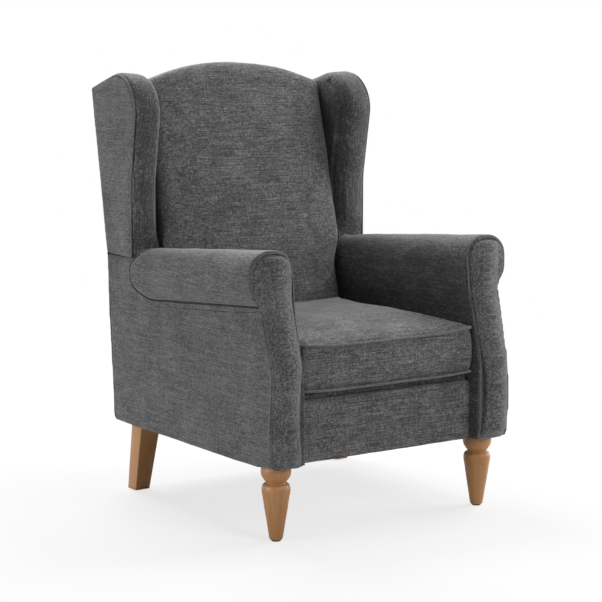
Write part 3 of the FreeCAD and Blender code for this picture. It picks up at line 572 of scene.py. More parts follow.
def woodMaterial(name, along, wood):
    material, tree, shader, place = startMaterial(name)
    drift = addNode(tree, "ShaderNodeTexNoise", {
        "Vector": scaled(tree, place, grainScale(along, 0.22, 0.05)), "Scale": 1.0, "Detail": 2.0})
    bent = addNode(tree, "ShaderNodeVectorMath", {
        0: scaled(tree, place, grainScale(along, 0.16, 0.011)),
        1: scaled(tree, drift.outputs["Color"], (1.6, 1.6, 1.6))}, operation="ADD").outputs[0]
    rings = addNode(tree, "ShaderNodeTexNoise", {
        "Vector": bent, "Scale": 1.0, "Detail": 4.0, "Roughness": 0.6})
    line = noiseOf(tree, place, grainScale(along, 0.02, 0.0006))
    pore = noiseOf(tree, place, grainScale(along, 0.006, 0.00035), 1)
    share = summed(tree, ((ranged(tree, rings.outputs[0], 0.32, 0.68), 0.65), (line, 0.4)))
    dots = ranged(tree, pore, 0.66, 0.78, 0.0, 0.45)
    colour = blendColours(tree, dots, blendColours(tree, share, wood["deep"], wood["pale"]), wood["pores"])
    rough = ranged(tree, line, 0.3, 0.7, wood["rough"] + 0.08, wood["rough"] - 0.06)
    setSurface(tree, shader, colour, rough, summed(tree, ((line, 0.5), (dots, -0.8))), 0.12, 0.0004)
    shader.inputs["Coat Weight"].default_value = wood["coat"]
    shader.inputs["Coat Roughness"].default_value = 0.3
    return material


legWood = woodMaterial("legOak", 2, oak)
railWood = woodMaterial("pineAcross", 0, pine)
sideWood = woodMaterial("pineAlong", 1, pine)
postWood = woodMaterial("pineUpright", 2, pine)


def steelMaterial(name, colour, rough, along):
    material, tree, shader, place = startMaterial(name)
    lines = noiseOf(tree, place, grainScale(along, 1 / 90, 1 / 2500), 2, 0.6)
    haze = noiseOf(tree, place, (60, 60, 60), 3, 0.6)
    setSurface(tree, shader, blendColours(tree, haze, toned(colour, 0.72), colour),
               ranged(tree, haze, 0.3, 0.7, rough - 0.07, rough + 0.1), lines, 0.15, 0.0002)
    shader.inputs["Metallic"].default_value = 1.0
    return material


def plasticMaterial(name, colour):
    material, tree, shader, place = startMaterial(name)
    grain = noiseOf(tree, place, (1800, 1800, 1800))
    scuff = noiseOf(tree, place, (120, 120, 120), 3, 0.6)
    worn = blendColours(tree, ranged(tree, scuff, 0.5, 0.8), colour, toned(colour, 1.9, 0.01))
    setSurface(tree, shader, worn, ranged(tree, scuff, 0.3, 0.7, 0.42, 0.6), grain, 0.2, 0.0002)
    return material


springSteel = steelMaterial("springWire", (0.42, 0.42, 0.43, 1), 0.36, 0)
zipMetal = steelMaterial("zipMetal", (0.46, 0.45, 0.44, 1), 0.32, 2)
glidePlastic = plasticMaterial("glidePlastic", (0.030, 0.027, 0.024, 1))
liningCloth = plainWeave("blackLining", (0.020, 0.020, 0.022, 1), 0.0008)
webbingCloth = plainWeave("elasticWebbing", (0.035, 0.034, 0.036, 1), 0.0014, along=2)
feltCloth = plainWeave("wovenFelt", (0.33, 0.31, 0.28, 1), 0.003, 0.3, 0.95)
tapeCloth = plainWeave("zipTape", (0.030, 0.030, 0.033, 1), 0.0007)
foamCloth = plainWeave("palePadding", (0.66, 0.60, 0.44, 1), 0.0012, 0.12)
print("materials made")


def finishPiece(piece, body, nodes=()):
    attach(piece, body)
    if nodes:
        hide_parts(*nodes)


# camera, lamps, backdrop and floor

view = {"place": (-2.426, -3.574, 1.061), "down": 7.85, "turn": 34.36, "lens": 109.53}
camera = bpy.data.objects.new("camera", bpy.data.cameras.new("camera"))
scene.collection.objects.link(camera)
camera.location = view["place"]
camera.rotation_euler = (math.radians(90 - view["down"]), 0, math.radians(-view["turn"]))
camera.data.lens = view["lens"]
camera.data.sensor_width = 36
camera.data.clip_end = 60
scene.camera = camera

studio = {
    "ambient": 0.03,
    "shadowShare": 0.26,     # how much of the floor's own shade the picture keeps
    "shadowFull": 0.5,       # as far from the chair as this, and none from the next distance on
    "shadowEnd": 1.9,
    "lamps": [   # name, place, target, size and power
        ("topSoftbox", (1.7, -0.2, 2.6), (0, 0, 0.5), (1.4, 1.4), 46),
        ("rearSoftbox", (0.0, 1.6, 2.6), (0, 0, 0.6), (1.4, 1.4), 76),
        ("leftSoftbox", (-3.3, 0.35, 0.8), (0, 0.2, 0.6), (0.9, 1.2), 43),
        ("frontSoftbox", (0.6, -3.4, 2.1), (0, 0, 0.5), (1.2, 1.2), 41),
        ("rightSoftbox", (3.2, -0.9, 1.2), (0, 0, 0.6), (1.2, 1.2), 40),
    ],
}
for name, place, target, size, power in studio["lamps"]:
    lamp = bpy.data.lights.new(name, "AREA")
    lamp.shape = "RECTANGLE"
    lamp.size, lamp.size_y = size
    lamp.energy = power
    holder = bpy.data.objects.new(name, lamp)
    scene.collection.objects.link(holder)
    holder.location = place
    holder.rotation_euler = (Vector(target) - Vector(place)).to_track_quat("-Z", "Y").to_euler()
    holder.visible_camera = False

world = bpy.data.worlds.new("studio")
scene.world = world
world.use_nodes = True
tree = world.node_tree
tree.nodes.clear()
rays = addNode(tree, "ShaderNodeLightPath").outputs
seen = calc(tree, "MAXIMUM", calc(tree, "MAXIMUM", rays["Is Camera Ray"], rays["Is Glossy Ray"]),
            rays["Is Transmission Ray"])
strength = ranged(tree, seen, 0.0, 1.0, studio["ambient"], 1.0)
sky = addNode(tree, "ShaderNodeBackground", {"Color": (1, 1, 1, 1), "Strength": strength})
tree.links.new(sky.outputs[0], addNode(tree, "ShaderNodeOutputWorld").inputs[0])

floorMaterial, tree, shader, place = startMaterial("paleFloor")
speck = noiseOf(tree, place, (300, 300, 300))
cameraRay = addNode(tree, "ShaderNodeLightPath").outputs["Is Camera Ray"]
shade = blendColours(tree, speck, (0.86, 0.86, 0.86, 1), (0.89, 0.89, 0.89, 1))
shade = blendColours(tree, cameraRay, (0.80, 0.80, 0.80, 1), shade)
tree.links.new(shade, shader.inputs["Base Color"])
shader.inputs["Roughness"].default_value = 0.9
shader.inputs["Specular IOR Level"].default_value = 0.0
# the floor turns into the white backdrop a little way from the chair
flat = scaled(tree, place, (1, 1, 0))
away = addNode(tree, "ShaderNodeVectorMath", {0: flat}, operation="LENGTH").outputs["Value"]
keep = ranged(tree, away, studio["shadowFull"], studio["shadowEnd"], studio["shadowShare"], 0.0)
paperShare = calc(tree, "MULTIPLY", cameraRay, calc(tree, "SUBTRACT", 1.0, keep))
paper = addNode(tree, "ShaderNodeEmission", {"Color": (1, 1, 1, 1), "Strength": 1.0})
mixed = addNode(tree, "ShaderNodeMixShader", {0: paperShare})
tree.links.new(shader.outputs[0], mixed.inputs[1])
tree.links.new(paper.outputs[0], mixed.inputs[2])
tree.links.new(mixed.outputs[0], tree.nodes["Material Output"].inputs[0])
bm = bmesh.new()
bmesh.ops.create_grid(bm, x_segments=2, y_segments=2, size=9)
newPiece("studioFloor", bm, floorMaterial, False)
print("camera and light set")

# inside back

backPad = {"voxel": 0.005, "rounds": 8, "swell": 0.0016, "swellSize": 0.16}
nodes = ["back_cover", "back_foam"]
piece = softPiece("insideBack", nodes, clothX, backPad)
unevenCloth(piece, backPad, 1)
refine(piece)
finishPiece(piece, "frame", nodes)

# wings

wing = {
    "voxel": 0.0045,
    "rounds": 4,
    "full": 0.0006,
    "front": 0.1875,
    "noseY": 0.1393,
    "topZ": 0.974,           # of the outside back's corner
    "rearInset": 0.0053,
    "outerX": 0.330,
    "flare": 0.011,          # the nose stands out from outerX by this much
    "innerX": 0.2600,
    "weltInset": 0.0020,
    "weltRadius": 0.0021,
    "weltCrown": (0.0005, 0.0022),       # how far the piping goes in and down over the crown
    "settle": 0.005,         # the rear top corner sits this much lower
    "grooveIn": 0.0056,      # groove between piping and band; the near-black thread laid in it is painted shade
    "grooveRadius": 0.0011,
    "grooveCrown": (0.003, 0.0005),
    "grooveForward": 0.0012,
    "seamPress": (0.0008, 0.006),        # depth and reach of the cloth drawn in along the piping
    "footStops": (0.640, 0.600, 0.573),  # z of the last points of the piping
    "footBlock": (0.2600, 0.3305, 0.1890, 0.2300, 0.5725, 0.6050),   # x, y and z range of a filler
    "crownFrom": 0.90,
    "crownFull": 0.97,
    "crownRound": 0.015,     # rounding of the outer edge along the top
    "innerDrop": 0.006,      # how far the inner edge of the top lies lower, and where
    "dropAcross": (0.325, 0.265),
    "dropHeights": (0.93, 1.01),
    "innerRound": 0.026,     # soft roll from the front of a wing to its inner face
    "rollHeights": (0.60, 0.64),
    "frontDome": 0.009,
    "domeReach": 0.03,
    "domeFade": (1.0, 0.94),
    "frontEnd": 0.23,        # y behind which the front's shaping stops
    "swell": 0.0012,
    "swellSize": 0.12,
}
waistRear = rearAt(chair["waist"]) - wing["rearInset"]
wingCorners = [
    (wing["front"], chair["waist"], 0.012),
    (waistRear, chair["waist"], 0.012),
    (rearAt(wing["topZ"]) - wing["rearInset"], wing["topZ"], 0.008),
    (wing["noseY"], 1.035, 0.092),
    (wing["front"], 0.741, 0.260),
]


def settleCorner(points):
    share = numpy.clip((points[:, 1] - 0.20) / 0.17, 0, 1) * numpy.clip((points[:, 2] - 0.86) / 0.10, 0, 1)
    points[:, 2] -= wing["settle"] * share
    return points


def wingOuterX(y):
    top = rearAt(wing["topZ"])
    return wing["outerX"] + wing["flare"] * (top - y) / (top - wing["noseY"])


def crownShare(z):
    return ramp(z, wing["crownFrom"], wing["crownFull"])


def pullIn(point, place, side, edge, deep, radius, pull):
    # towards the centre of a new arc: sideways, and away from the wing's outline
    point[0] += side * (radius - edge) * pull
    outward = Vector((0, place[1] - point[1], place[2] - point[2]))
    if outward.length > 1e-6:
        outward.normalize()
        point[1] -= outward.y * (radius - deep) * pull
        point[2] -= outward.z * (radius - deep) * pull


def shapeWing(piece):
    # a rolled inner edge and domed band, a rounder outer edge along the top, and a top that falls inwards
    tree = alongLine([Vector((0, u, v)) for u, v in outlinePoints(wingCorners, 0.0, 0.003)], True)
    points = pointsOf(piece.data)
    roll, full = wing["innerRound"], wing["crownRound"]
    for point in points:
        side = math.copysign(1, point[0])
        place, _, deep = tree.find(Vector((0, point[1], point[2])))
        inside = abs(point[0]) - wing["innerX"]
        low = ramp(point[2], *wing["rollHeights"])
        pull = low * roundPull(inside, deep, roll)
        if pull and point[1] < wing["frontEnd"]:
            pullIn(point, place, side, inside, deep, roll, pull)
        if point[1] < wing["frontEnd"] and deep < wing["domeReach"]:
            across = ramp(inside, 0, wingOuterX(point[1]) - wing["innerX"])
            share = (1 - deep / wing["domeReach"]) * low * ramp(point[2], *wing["domeFade"])
            point[1] -= wing["frontDome"] * math.sin(math.pi * across) * share
        crown = crownShare(point[2])
        if not crown:
            continue
        inner = ramp(abs(point[0]), *wing["dropAcross"])
        edge = wingOuterX(point[1]) - abs(point[0])
        pull = crown * roundPull(edge, deep, full)
        if pull and edge >= 0:
            pullIn(point, place, -side, edge, deep, full, pull)
        point[2] -= wing["innerDrop"] * inner * inner * ramp(point[2], *wing["dropHeights"])
    movePoints(piece.data, points)


def wingLine(sign, inset, crown, forward=0.0):
    # a line beside the outer edge, from the rear top corner over the nose and down the front
    line = outlineFrom(wingCorners, wing["weltInset"], 2)
    centre, radius, _, _ = outlineArcs(wingCorners, wing["weltInset"])[0]
    line += [(centre[0] - radius, z) for z in wing["footStops"]]
    made = [(sign * (wingOuterX(y) - inset - crown[0] * crownShare(z)), y - forward * (1 - crownShare(z)),
             z - crown[1] * crownShare(z)) for y, z in line]
    return [Vector(p) for p in settleCorner(numpy.array(made))]


def mirroredBlock(sign, corners):
    # filler corners for the right side, turned round for the left one
    flipped = [(sign * x, y, z) for x, y, z in corners]
    return flipped if sign > 0 else [flipped[i] for i in (1, 0, 3, 2, 5, 4, 7, 6)]


def levelBlock(x0, x1, y0, y1, z0, z1):
    return [(x, y, z) for z in (z0, z1) for x, y in ((x0, y0), (x1, y0), (x1, y1), (x0, y1))]


def makeWing(side, sign):
    nodes = [side + "_wing_cover", side + "_wing_foam"]
    foot = mirroredBlock(sign, levelBlock(*wing["footBlock"]))
    piece = softPiece(side + "Wing", nodes + [side + "_wing_board"], clothUprightShade, wing, [foot])
    line = wingLine(sign, wing["weltInset"], wing["weltCrown"])
    groove = wingLine(sign, wing["grooveIn"], wing["grooveCrown"], wing["grooveForward"])
    movePoints(piece.data, settleCorner(pointsOf(piece.data)))
    shapeWing(piece)
    pressSeam(piece, line, *wing["seamPress"])
    unevenCloth(piece, wing, 2 + sign)
    pressSeam(piece, [Vector((sign * wingOuterX(y), y, chair["waist"])) for y in waistStops], *waistPress)
    piece.data.materials.append(clothY)
    piece.data.materials.append(clothWingInnerShade)
    for face in piece.data.polygons:
        x, y, z = face.center
        if x * sign > wingOuterX(y) - 0.006 or y > rearAt(z) - 0.012:
            # faces turned to the middle take the darkest copy of the cloth: painted shade
            face.material_index = 1
        elif face.normal.x * sign < -0.8:
            face.material_index = 2
    refine(piece)
    finishPiece(piece, "frame", nodes)
    welt = pipe(side + "WingPiping", line, wing["weltRadius"], pipingHighlightZ)
    finishPiece(welt, "frame", [side + "_wing_welt"])
    # near-black thread in the groove beside the piping: painted shade
    finishPiece(pipe(side + "WingSeamShade", groove, wing["grooveRadius"], seamThreadShade, sides=8), "frame")


# scroll arms: scroll, inside arm, outside arm and foot are one padded body with its seams drawn in

arm = {
    "voxel": 0.0042,
    "rounds": 4,
    "full": 0.0005,
    "sideX": 0.3285,         # outer side of the padded panel
    "startY": -0.36,
    "endY": 0.176,
    "endTop": 0.048,
    "endLow": 0.066,
    "bandHeight": 0.0125,    # cloth band between the two seams under the scroll
    "endRound": 0.009,
    "endReach": 0.0035,
    "endInset": 0.0072,
    "dropAcross": (0.27, 0.325),         # ranges in which the top of the arm follows the round end
    "dropBehind": (0.190, 0.178),
    "dropHeights": (0.53, 0.57),
    "dropOuter": 0.331,
    "innerX": 0.262,         # faces nearer to the middle and lower than this have a darker copy of the cloth, painted shade
    "innerTop": 0.612,
    "seamInset": 0.002,
    "seamRadius": 0.0029,
    "seamPress": (0.0024, 0.0040),       # depth and reach
    "bandRadius": 0.0009,
    "bandPress": (0.0013, 0.0035),
    "waistX": 0.3284,
    "waistRadius": 0.0017,
    "railSlot": (0.2840, 0.3214, -0.338, 0.213, 0.001, 0.0455),   # x and y range, and rise over the neck
    "footRoom": (0.2420, 0.2640, -0.0008, 0.03),   # x range, and y range behind the line of the front
    "footLow": 0.1685,
    "footStep": 0.0375,
    "footCount": 7,
    "blocks": [   # x, y and z ranges of fillers: below the wing, and two at the foot of the arm front
        (0.3135, 0.3268, 0.195, 0.318, 0.552, 0.588),
        (0.2700, 0.3268, -0.386, -0.352, 0.1685, 0.20),
        (0.3000, 0.3285, -0.3935, -0.380, 0.1685, 0.196),
    ],
    "hemRound": 0.015,
    "hemBehind": (-0.335, -0.365),
    "hemReach": 0.03,
    "swell": 0.0014,
    "swellSize": 0.13,
}
facing = {
    "voxel": 0.0033,
    "rounds": 3,
    "full": 0.0004,
    "innerX": 0.2405,
    "outerX": 0.353,
    "piping": 0.0019,
    "pipingInset": 0.0058,
    "pipingLow": 0.176,      # the outline is left at this height for the last point of the piping
    "pipingEnd": (0.2463, 0.1720),
    "innerShift": 0.0042,    # the inner piping lies this much nearer to the inner edge
    "stand": 0.0042,         # how far the piping stands out from the front, and how much less above
    "standDrop": 0.0026,
    "standHeights": (0.40, 0.46),
    "skin": 0.006,           # only points this far before the line of the front belong to its dome
    "dome": 0.010,
    "domeAcross": (0.243, 0.328),
    "domeHeights": (0.17, 0.19),
    "slotPush": 0.005,       # closes the slot above the leg, between these x and below slotTop
    "slotIn": 0.268,
    "slotOut": 0.306,
    "slotTop": 0.20,
    "bowAcross": (0.330, 0.250),
    "bow": 0.012,            # how far the inner edge bows out below the cushion, and between which heights
    "bowLow": 0.168,
    "bowHigh": 0.385,
    "hollow": 0.0055,        # how far the outer edge draws in below the neck, and where
    "hollowZ": 0.375,
    "hollowReach": 0.070,
    "swell": 0.0009,
    "swellSize": 0.08,
}
facingCorners = [
    (facing["innerX"], chair["hem"], 0.0008),
    (chair["footX"], chair["hem"], 0.016),
    (0.334, 0.250, 0.400),
    (chair["panelX"], chair["neckHeight"], 0.028),
    (facing["outerX"], 0.549, 0.028),
    (facing["outerX"], chair["armHeight"], 0.050),
    (facing["innerX"], chair["armHeight"], 0.050),
]


def railFiller():
    # closes the slot of the arm rail inside the padding
    return [(x, y, neckAt(y) + rise) for x, y, rise in levelBlock(*arm["railSlot"])]


def footFillers():
    # padding beside the inner edge of an arm front, where that edge bows out
    levels = [arm["footLow"] + arm["footStep"] * i for i in range(arm["footCount"] + 1)]
    return [[(x, frontLine(z) + y, z) for x, y, z in levelBlock(*arm["footRoom"], low, high)]
            for low, high in zip(levels, levels[1:])]


def bowAt(z):
    return facing["bow"] * math.sin(math.pi * ramp(z, facing["bowLow"], facing["bowHigh"])) ** 0.8


def hollowAt(z):
    return facing["hollow"] * math.exp(-((z - facing["hollowZ"]) / facing["hollowReach"]) ** 2)


def standAt(z):
    # the inner piping stands clear below the cushion and lies in its seam above
    return facing["stand"] - facing["standDrop"] * ramp(z, *facing["standHeights"])


def roundHem(piece):
    # the lower front corner of an outside arm is as round as the arm front before it
    points = pointsOf(piece.data)
    full = arm["hemRound"]
    for point in points:
        edge, low = chair["footX"] - abs(point[0]), point[2] - chair["hem"] - 0.0015
        front = ramp(point[1], *arm["hemBehind"])
        outer = ramp(edge, arm["hemReach"], 0)
        point[0] -= math.copysign(hollowAt(point[2]) * front * outer, point[0])
        pull = front * roundPull(edge, low, full)
        if pull:
            point[0] -= math.copysign((full - edge) * pull, point[0])
            point[2] += (full - low) * pull
    movePoints(piece.data, points)


def scrollOutline(inset):
    # (y, z) side view of a scroll, open at the front
    front, rear = arm["startY"], arm["endY"]
    corners = [(front, neckAt(front), 0.001), (rear, neckAt(rear), arm["endLow"]),
               (rear, armTop(rear), arm["endTop"]), (front, armTop(front), 0.001)]
    return outlinePoints(corners, inset, 0.003, False)


def endReach(y, z):
    # how far the stuffed rear end of a scroll reaches beyond its frame
    return arm["endReach"] * ramp(z, armTop(y), armTop(y) - 0.05) * ramp(y - arm["endY"], -0.080, -0.010)


def roundScrollEnd(piece):
    # turns the flat rear end of a scroll into a stuffed, rounded one
    endY, sideX = arm["endY"], arm["sideX"]
    tree = alongLine([Vector((0, u, v)) for u, v in scrollOutline(0.0) if u > endY - 0.085])
    points = pointsOf(piece.data)
    arcY = endY - arm["endTop"]
    for point in points:
        x, y, z = abs(point[0]), point[1], point[2]
        if y > arcY and x < arm["dropOuter"]:
            turn = min((y - arcY) / arm["endTop"], 0.86)
            drop = arm["endTop"] * (1 - math.sqrt(1 - turn * turn))
            drop *= eased(ramp(x, *arm["dropAcross"])) * ramp(y, *arm["dropBehind"])
            point[2] -= drop * ramp(z, *arm["dropHeights"])
        if x <= sideX or y < endY - 0.095 or z < neckAt(y) - 0.006:
            continue
        _, _, far = tree.find(Vector((0, y, z)))
        if far < arm["endRound"]:
            share = math.sqrt(1 - (1 - far / arm["endRound"]) ** 2)
            point[0] = math.copysign(sideX + (x - sideX) * share, point[0])
        point[1] += endReach(y, z)
    movePoints(piece.data, points)


def scrollSeam():
    # (y, z) of the seam under a scroll, round its rear end and up to the wing
    line = []
    points = scrollOutline(arm["seamInset"])
    for before, point, after in zip(points, points[1:], points[2:]):
        run = Vector((after[0] - before[0], after[1] - before[1])).normalized()
        grow = ramp(point[0] - arm["endY"], -0.070, -0.020) * (arm["endInset"] - arm["seamInset"])
        y, z = point[0] - run.y * grow, point[1] + run.x * grow
        if y >= -0.350 and z <= armTop(y) - 0.012:
            line.append((y + endReach(y, z), z))
    return line


def bandSeam():
    # (y, z) of the lower seam of the band, which comes closer to the scroll at the front
    stops = ((-0.350, 0.55), (-0.30, 0.85), (-0.2, 1), (0.0, 1), (0.098, 1))
    line = [(0, y, neckAt(y) - arm["bandHeight"] * grow) for y, grow in stops]
    return [tuple(p.yz) for p in evenPoints(line, 0.01)]


def makeArm(side, sign):
    nodes = [side + "_" + part for part in ("arm_cover", "arm_foam", "side_panel", "arm_foot")]
    blocks = [railFiller()] + [levelBlock(*room) for room in arm["blocks"]] + footFillers()
    piece = softPiece(side + "Arm", nodes + [side + "_facing_welt"], clothY, arm,
                      [mirroredBlock(sign, corners) for corners in blocks])
    roundScrollEnd(piece)
    roundHem(piece)
    unevenCloth(piece, arm, 5 + sign)
    waist = [Vector((sign * chair["footX"], y, chair["waist"] - 0.001)) for y in waistStops]
    pressSeam(piece, waist, *waistPress)
    pressSeam(piece, onSide(piece, scrollSeam(), sign), *arm["seamPress"])
    pressSeam(piece, onSide(piece, bandSeam(), sign), *arm["bandPress"])
    # faces turned to the middle below innerTop take a darker copy of the cloth: painted shade
    piece.data.materials.append(clothInnerShade)
    for face in piece.data.polygons:
        x, _, z = face.center
        if abs(x) < arm["innerX"] and face.normal.x * sign < 0 and z < arm["innerTop"]:
            face.material_index = 1
    refine(piece)
    finishPiece(piece, "frame", nodes)
    # near-black threads in the seams under the scroll, below its band and at the waist: seam thread and painted
    # shade
    waist = [Vector((sign * arm["waistX"], y / 1000, chair["waist"])) for y in range(196, 324, 6)]
    for name, line, radius in (("ScrollSeamShade", onSide(piece, scrollSeam(), sign, 0.0004), arm["seamRadius"]),
                               ("BandSeamShade", onSide(piece, bandSeam(), sign, 0.0004), arm["bandRadius"]),
                               ("WaistSeamShade", waist, arm["waistRadius"])):
        finishPiece(pipe(side + name, line, radius, seamThreadShade, sides=8), "frame")


def makeArmFront(side, sign):
    nodes = [side + "_arm_facing"]
    piece = softPiece(side + "ArmFront", nodes, clothX, facing)
    points = pointsOf(piece.data)
    for point in points:
        share = ramp(abs(point[0]), *facing["bowAcross"])
        point[0] += sign * (bowAt(point[2]) * share - hollowAt(point[2]) * (1 - share))
        back = point[1] - frontLine(point[2])
        if back < -facing["skin"]:
            middle = math.sin(math.pi * ramp(abs(point[0]), *facing["domeAcross"]))
            point[1] -= facing["dome"] * middle * ramp(point[2], *facing["domeHeights"])
        elif point[2] < facing["slotTop"] and facing["slotIn"] < abs(point[0]) < facing["slotOut"]:
            point[1] += facing["slotPush"] * ramp(back, -facing["skin"], 0)
    movePoints(piece.data, points)
    unevenCloth(piece, facing, 8 + sign)
    refine(piece)
    finishPiece(piece, "frame", nodes)

    line = [p for p in outlineFrom(facingCorners, facing["pipingInset"], 1) if p[1] > facing["pipingLow"]]
    line.append(facing["pipingEnd"])
    line = [(u + bowAt(v) - facing["innerShift"], standAt(v), v) if u < 0.27
            else (u - hollowAt(v), facing["stand"], v) for u, v in line]
    line = [Vector((sign * u, frontLine(v) - stand, v)) for u, stand, v in line]
    welt = pipe(side + "ArmPiping", line, facing["piping"], pipingHighlightX)
    finishPiece(welt, "frame", [side + "_facing_welt"])


for side, sign in (("left", -1), ("right", 1)):
    makeWing(side, sign)
    makeArm(side, sign)
    makeArmFront(side, sign)
print("arms and wings padded")

# outside back, front border and the platform under the cushion

rear = {
    "voxel": 0.0036, "rounds": 3, "swell": 0.0012, "swellSize": 0.15,
    "seamInset": 0.0075, "seamPress": (0.0012, 0.004),
}
piece = softPiece("outsideBack", ["outside_back"], clothX, rear)
unevenCloth(piece, rear, 51)
seamHeights = [chair["hem"] + 0.004 + 0.02 * k for k in range(39)]
for sign in (-1, 1):
    line = [Vector((sign * (chair["panelX"] - rear["seamInset"]), rearAt(z), z)) for z in seamHeights]
    pressSeam(piece, line, *rear["seamPress"])
refine(piece)
finishPiece(piece, "frame", ["outside_back"])

border = {"voxel": 0.004, "rounds": 4, "swell": 0.0008, "swellSize": 0.09}
piece = softPiece("frontBorder", ["apron"], clothX, border)
unevenCloth(piece, border, 20)
refine(piece)
finishPiece(piece, "frame", ["apron"])

platform = {
    "voxel": 0.004, "rounds": 3, "swell": 0.0015, "swellSize": 0.12, "front": -0.3487, "top": 0.3173,
    "lipDepth": 0.095,       # a lip of cover cloth runs along the front
    "lipPress": (0.0022, 0.005), "gather": 0.0004, "pitch": 0.03,
}
nodes = ["deck_foam", "deck_felt", "deck_cloth"]
piece = softPiece("platformPad", nodes, liningCloth, platform)
piece.data.materials.append(clothX)
lipY = platform["front"] + platform["lipDepth"]
line = [Vector((x / 100, lipY, platform["top"])) for x in range(-24, 25, 2)]
pressSeam(piece, line, *platform["lipPress"], False, platform["gather"], platform["pitch"])
unevenCloth(piece, platform, 41)
for face in piece.data.polygons:
    if face.center.y < lipY and face.center.z > 0.29:
        face.material_index = 1
refine(piece)
finishPiece(piece, "frame", nodes)

# dust cloth under the seat, stapled to the rails

dust = {
    "halfX": 0.3207, "frontY": -0.3487, "rearY": 0.2962, "height": 0.1678,
    "thick": 0.0007, "sag": 0.0016, "step": 0.009, "stapleEdge": 0.009, "staplePitch": 0.045,
    "frontNotch": (0.2527, -0.3127), "rearNotch": (0.2597, 0.1827, 0.2413),
}
# run and drop of a staple's wire, in mm
staple = ((-5.2, -0.7), (-5.0, 0.25), (-4.4, 0.5), (4.4, 0.5), (5.0, 0.25), (5.2, -0.7))


def evenSteps(low, high, stops, step):
    # even steps from low to high that also hit every stop
    made = [low]
    for stop in sorted(stops) + [high]:
        start = made[-1]
        count = max(1, round((stop - start) / step))
        made += [start + (stop - start) * k / count for k in range(1, count + 1)]
    return made


def dustHeight(x, y):
    # the cloth hangs a little between its edges, in shallow waves
    inside = min(dust["halfX"] - abs(x), y - dust["frontY"], dust["rearY"] - y)
    share = 1 - math.exp(-(max(inside, 0) / 0.05) ** 2)
    return dust["height"] - dust["sag"] * share * (0.75 + 0.5 * noise.noise(Vector((x * 9, y * 9, 3))))


def makeDustCloth():
    notchX, notchY = dust["frontNotch"]
    rearX, lowY, highY = dust["rearNotch"]
    xs = evenSteps(-dust["halfX"], dust["halfX"], [-rearX, -notchX, notchX, rearX], dust["step"])
    ys = evenSteps(dust["frontY"], dust["rearY"], [notchY, lowY, highY], dust["step"])
    bm = bmesh.new()
    grid = {}
    for i in range(len(xs) - 1):
        for j in range(len(ys) - 1):
            x, y = abs(xs[i] + xs[i + 1]) / 2, (ys[j] + ys[j + 1]) / 2
            if (x > notchX and y < notchY) or (x > rearX and lowY < y < highY):
                continue
            corners = []
            for a, b in ((i, j), (i, j + 1), (i + 1, j + 1), (i + 1, j)):
                if (a, b) not in grid:
                    grid[a, b] = bm.verts.new((xs[a], ys[b], dustHeight(xs[a], ys[b])))
                corners.append(grid[a, b])
            bm.faces.new(corners)
    piece = newPiece("dustCloth", bm, liningCloth)
    thicken = piece.modifiers.new("thickness", "SOLIDIFY")
    thicken.thickness = dust["thick"]
    thicken.offset = 0
    finishPiece(piece, "frame", ["dust_cover"])


def staplePlaces():
    edge, pitch = dust["stapleEdge"], dust["staplePitch"]
    low, high = dust["frontY"] + edge, dust["rearY"] - edge
    _, notchLow, notchHigh = dust["rearNotch"]
    rows = math.floor((high - low) / pitch)
    for y in [low + (high - low) * k / rows for k in range(rows + 1)]:
        if y > dust["frontNotch"][1] + 0.01 and not notchLow - 0.01 < y < notchHigh + 0.01:
            yield from ((-dust["halfX"] + edge, y, 1), (dust["halfX"] - edge, y, 1))
    half = dust["frontNotch"][0] - edge
    rows = math.floor(2 * half / pitch)
    for x in [(half - 0.006) * (2 * k / rows - 1) for k in range(rows + 1)]:
        yield from ((x, low, 0), (x, high, 0))


def makeStaples():
    lofts = []
    for x, y, turned in staplePlaces():
        tilt = random.uniform(-0.12, 0.12) + (math.pi / 2 if turned else 0)
        along = Vector((math.cos(tilt), math.sin(tilt), 0))
        across = Vector((-along.y, along.x, 0))
        base = Vector((x, y, dustHeight(x, y) - dust["thick"] / 2))
        lofts.append([[base + along * run / 1000 + across * 0.0006 * math.cos(angle)
                       + Vector((0, 0, -drop / 1000 + 0.00025 * math.sin(angle)))
                       for angle in [2 * math.pi * k / 8 for k in range(8)]] for run, drop in staple])
    finishPiece(loftPiece("dustStaples", lofts, springSteel), "frame")


makeDustCloth()
makeStaples()
print("borders and platform made")

# seat cushion

seat = {
    "voxel": 0.005,
    "rounds": 3,
    "front": -0.382,
    "rear": 0.121,
    "half": 0.2395,
    "corner": 0.020,
    "lowSeam": 0.3206,
    "highSeam": 0.4236,
    "earRise": 0.006,        # how far the top seam turns up at its corners, and how near to them
    "earReach": 0.055,
    "edgeReach": 0.035,
    "topSink": 0.0012,       # the top seam lies this much lower between its corners
    "lowRise": 0.0045,       # the lower seam stands off the platform by this much more
    "lowEar": 0.0035,
    "crown": 0.005,
    "cornerFill": 0.009,
    "fillReach": 0.045,
    "fillClear": 0.0008,     # room that the filled corners keep inside the sides
    "heldHigh": 0.0032,      # cloth this near to a seam is held in the simulation
    "heldDeep": 0.013,
    "pressure": 4.0,
    "moveCap": 0.006,
    "frames": 20,
    "shrink": 0.003,
    "stiffness": 15.0,
    "seamInset": 0.0045,
    "seamPress": (0.0034, 0.0055),       # depth and reach
    "gather": 0.0007,
    "pitch": 0.021,
    "weltRadius": 0.003,
    "swell": 0.0018,
    "swellSize": 0.11,
}
seatCorners = [(x, y, seat["corner"]) for x, y in (
    (-seat["half"], seat["front"]), (seat["half"], seat["front"]),
    (seat["half"], seat["rear"]), (-seat["half"], seat["rear"]))]


def insideEdges(point):
    return seat["half"] - abs(point.x), min(point.y - seat["front"], seat["rear"] - point.y)


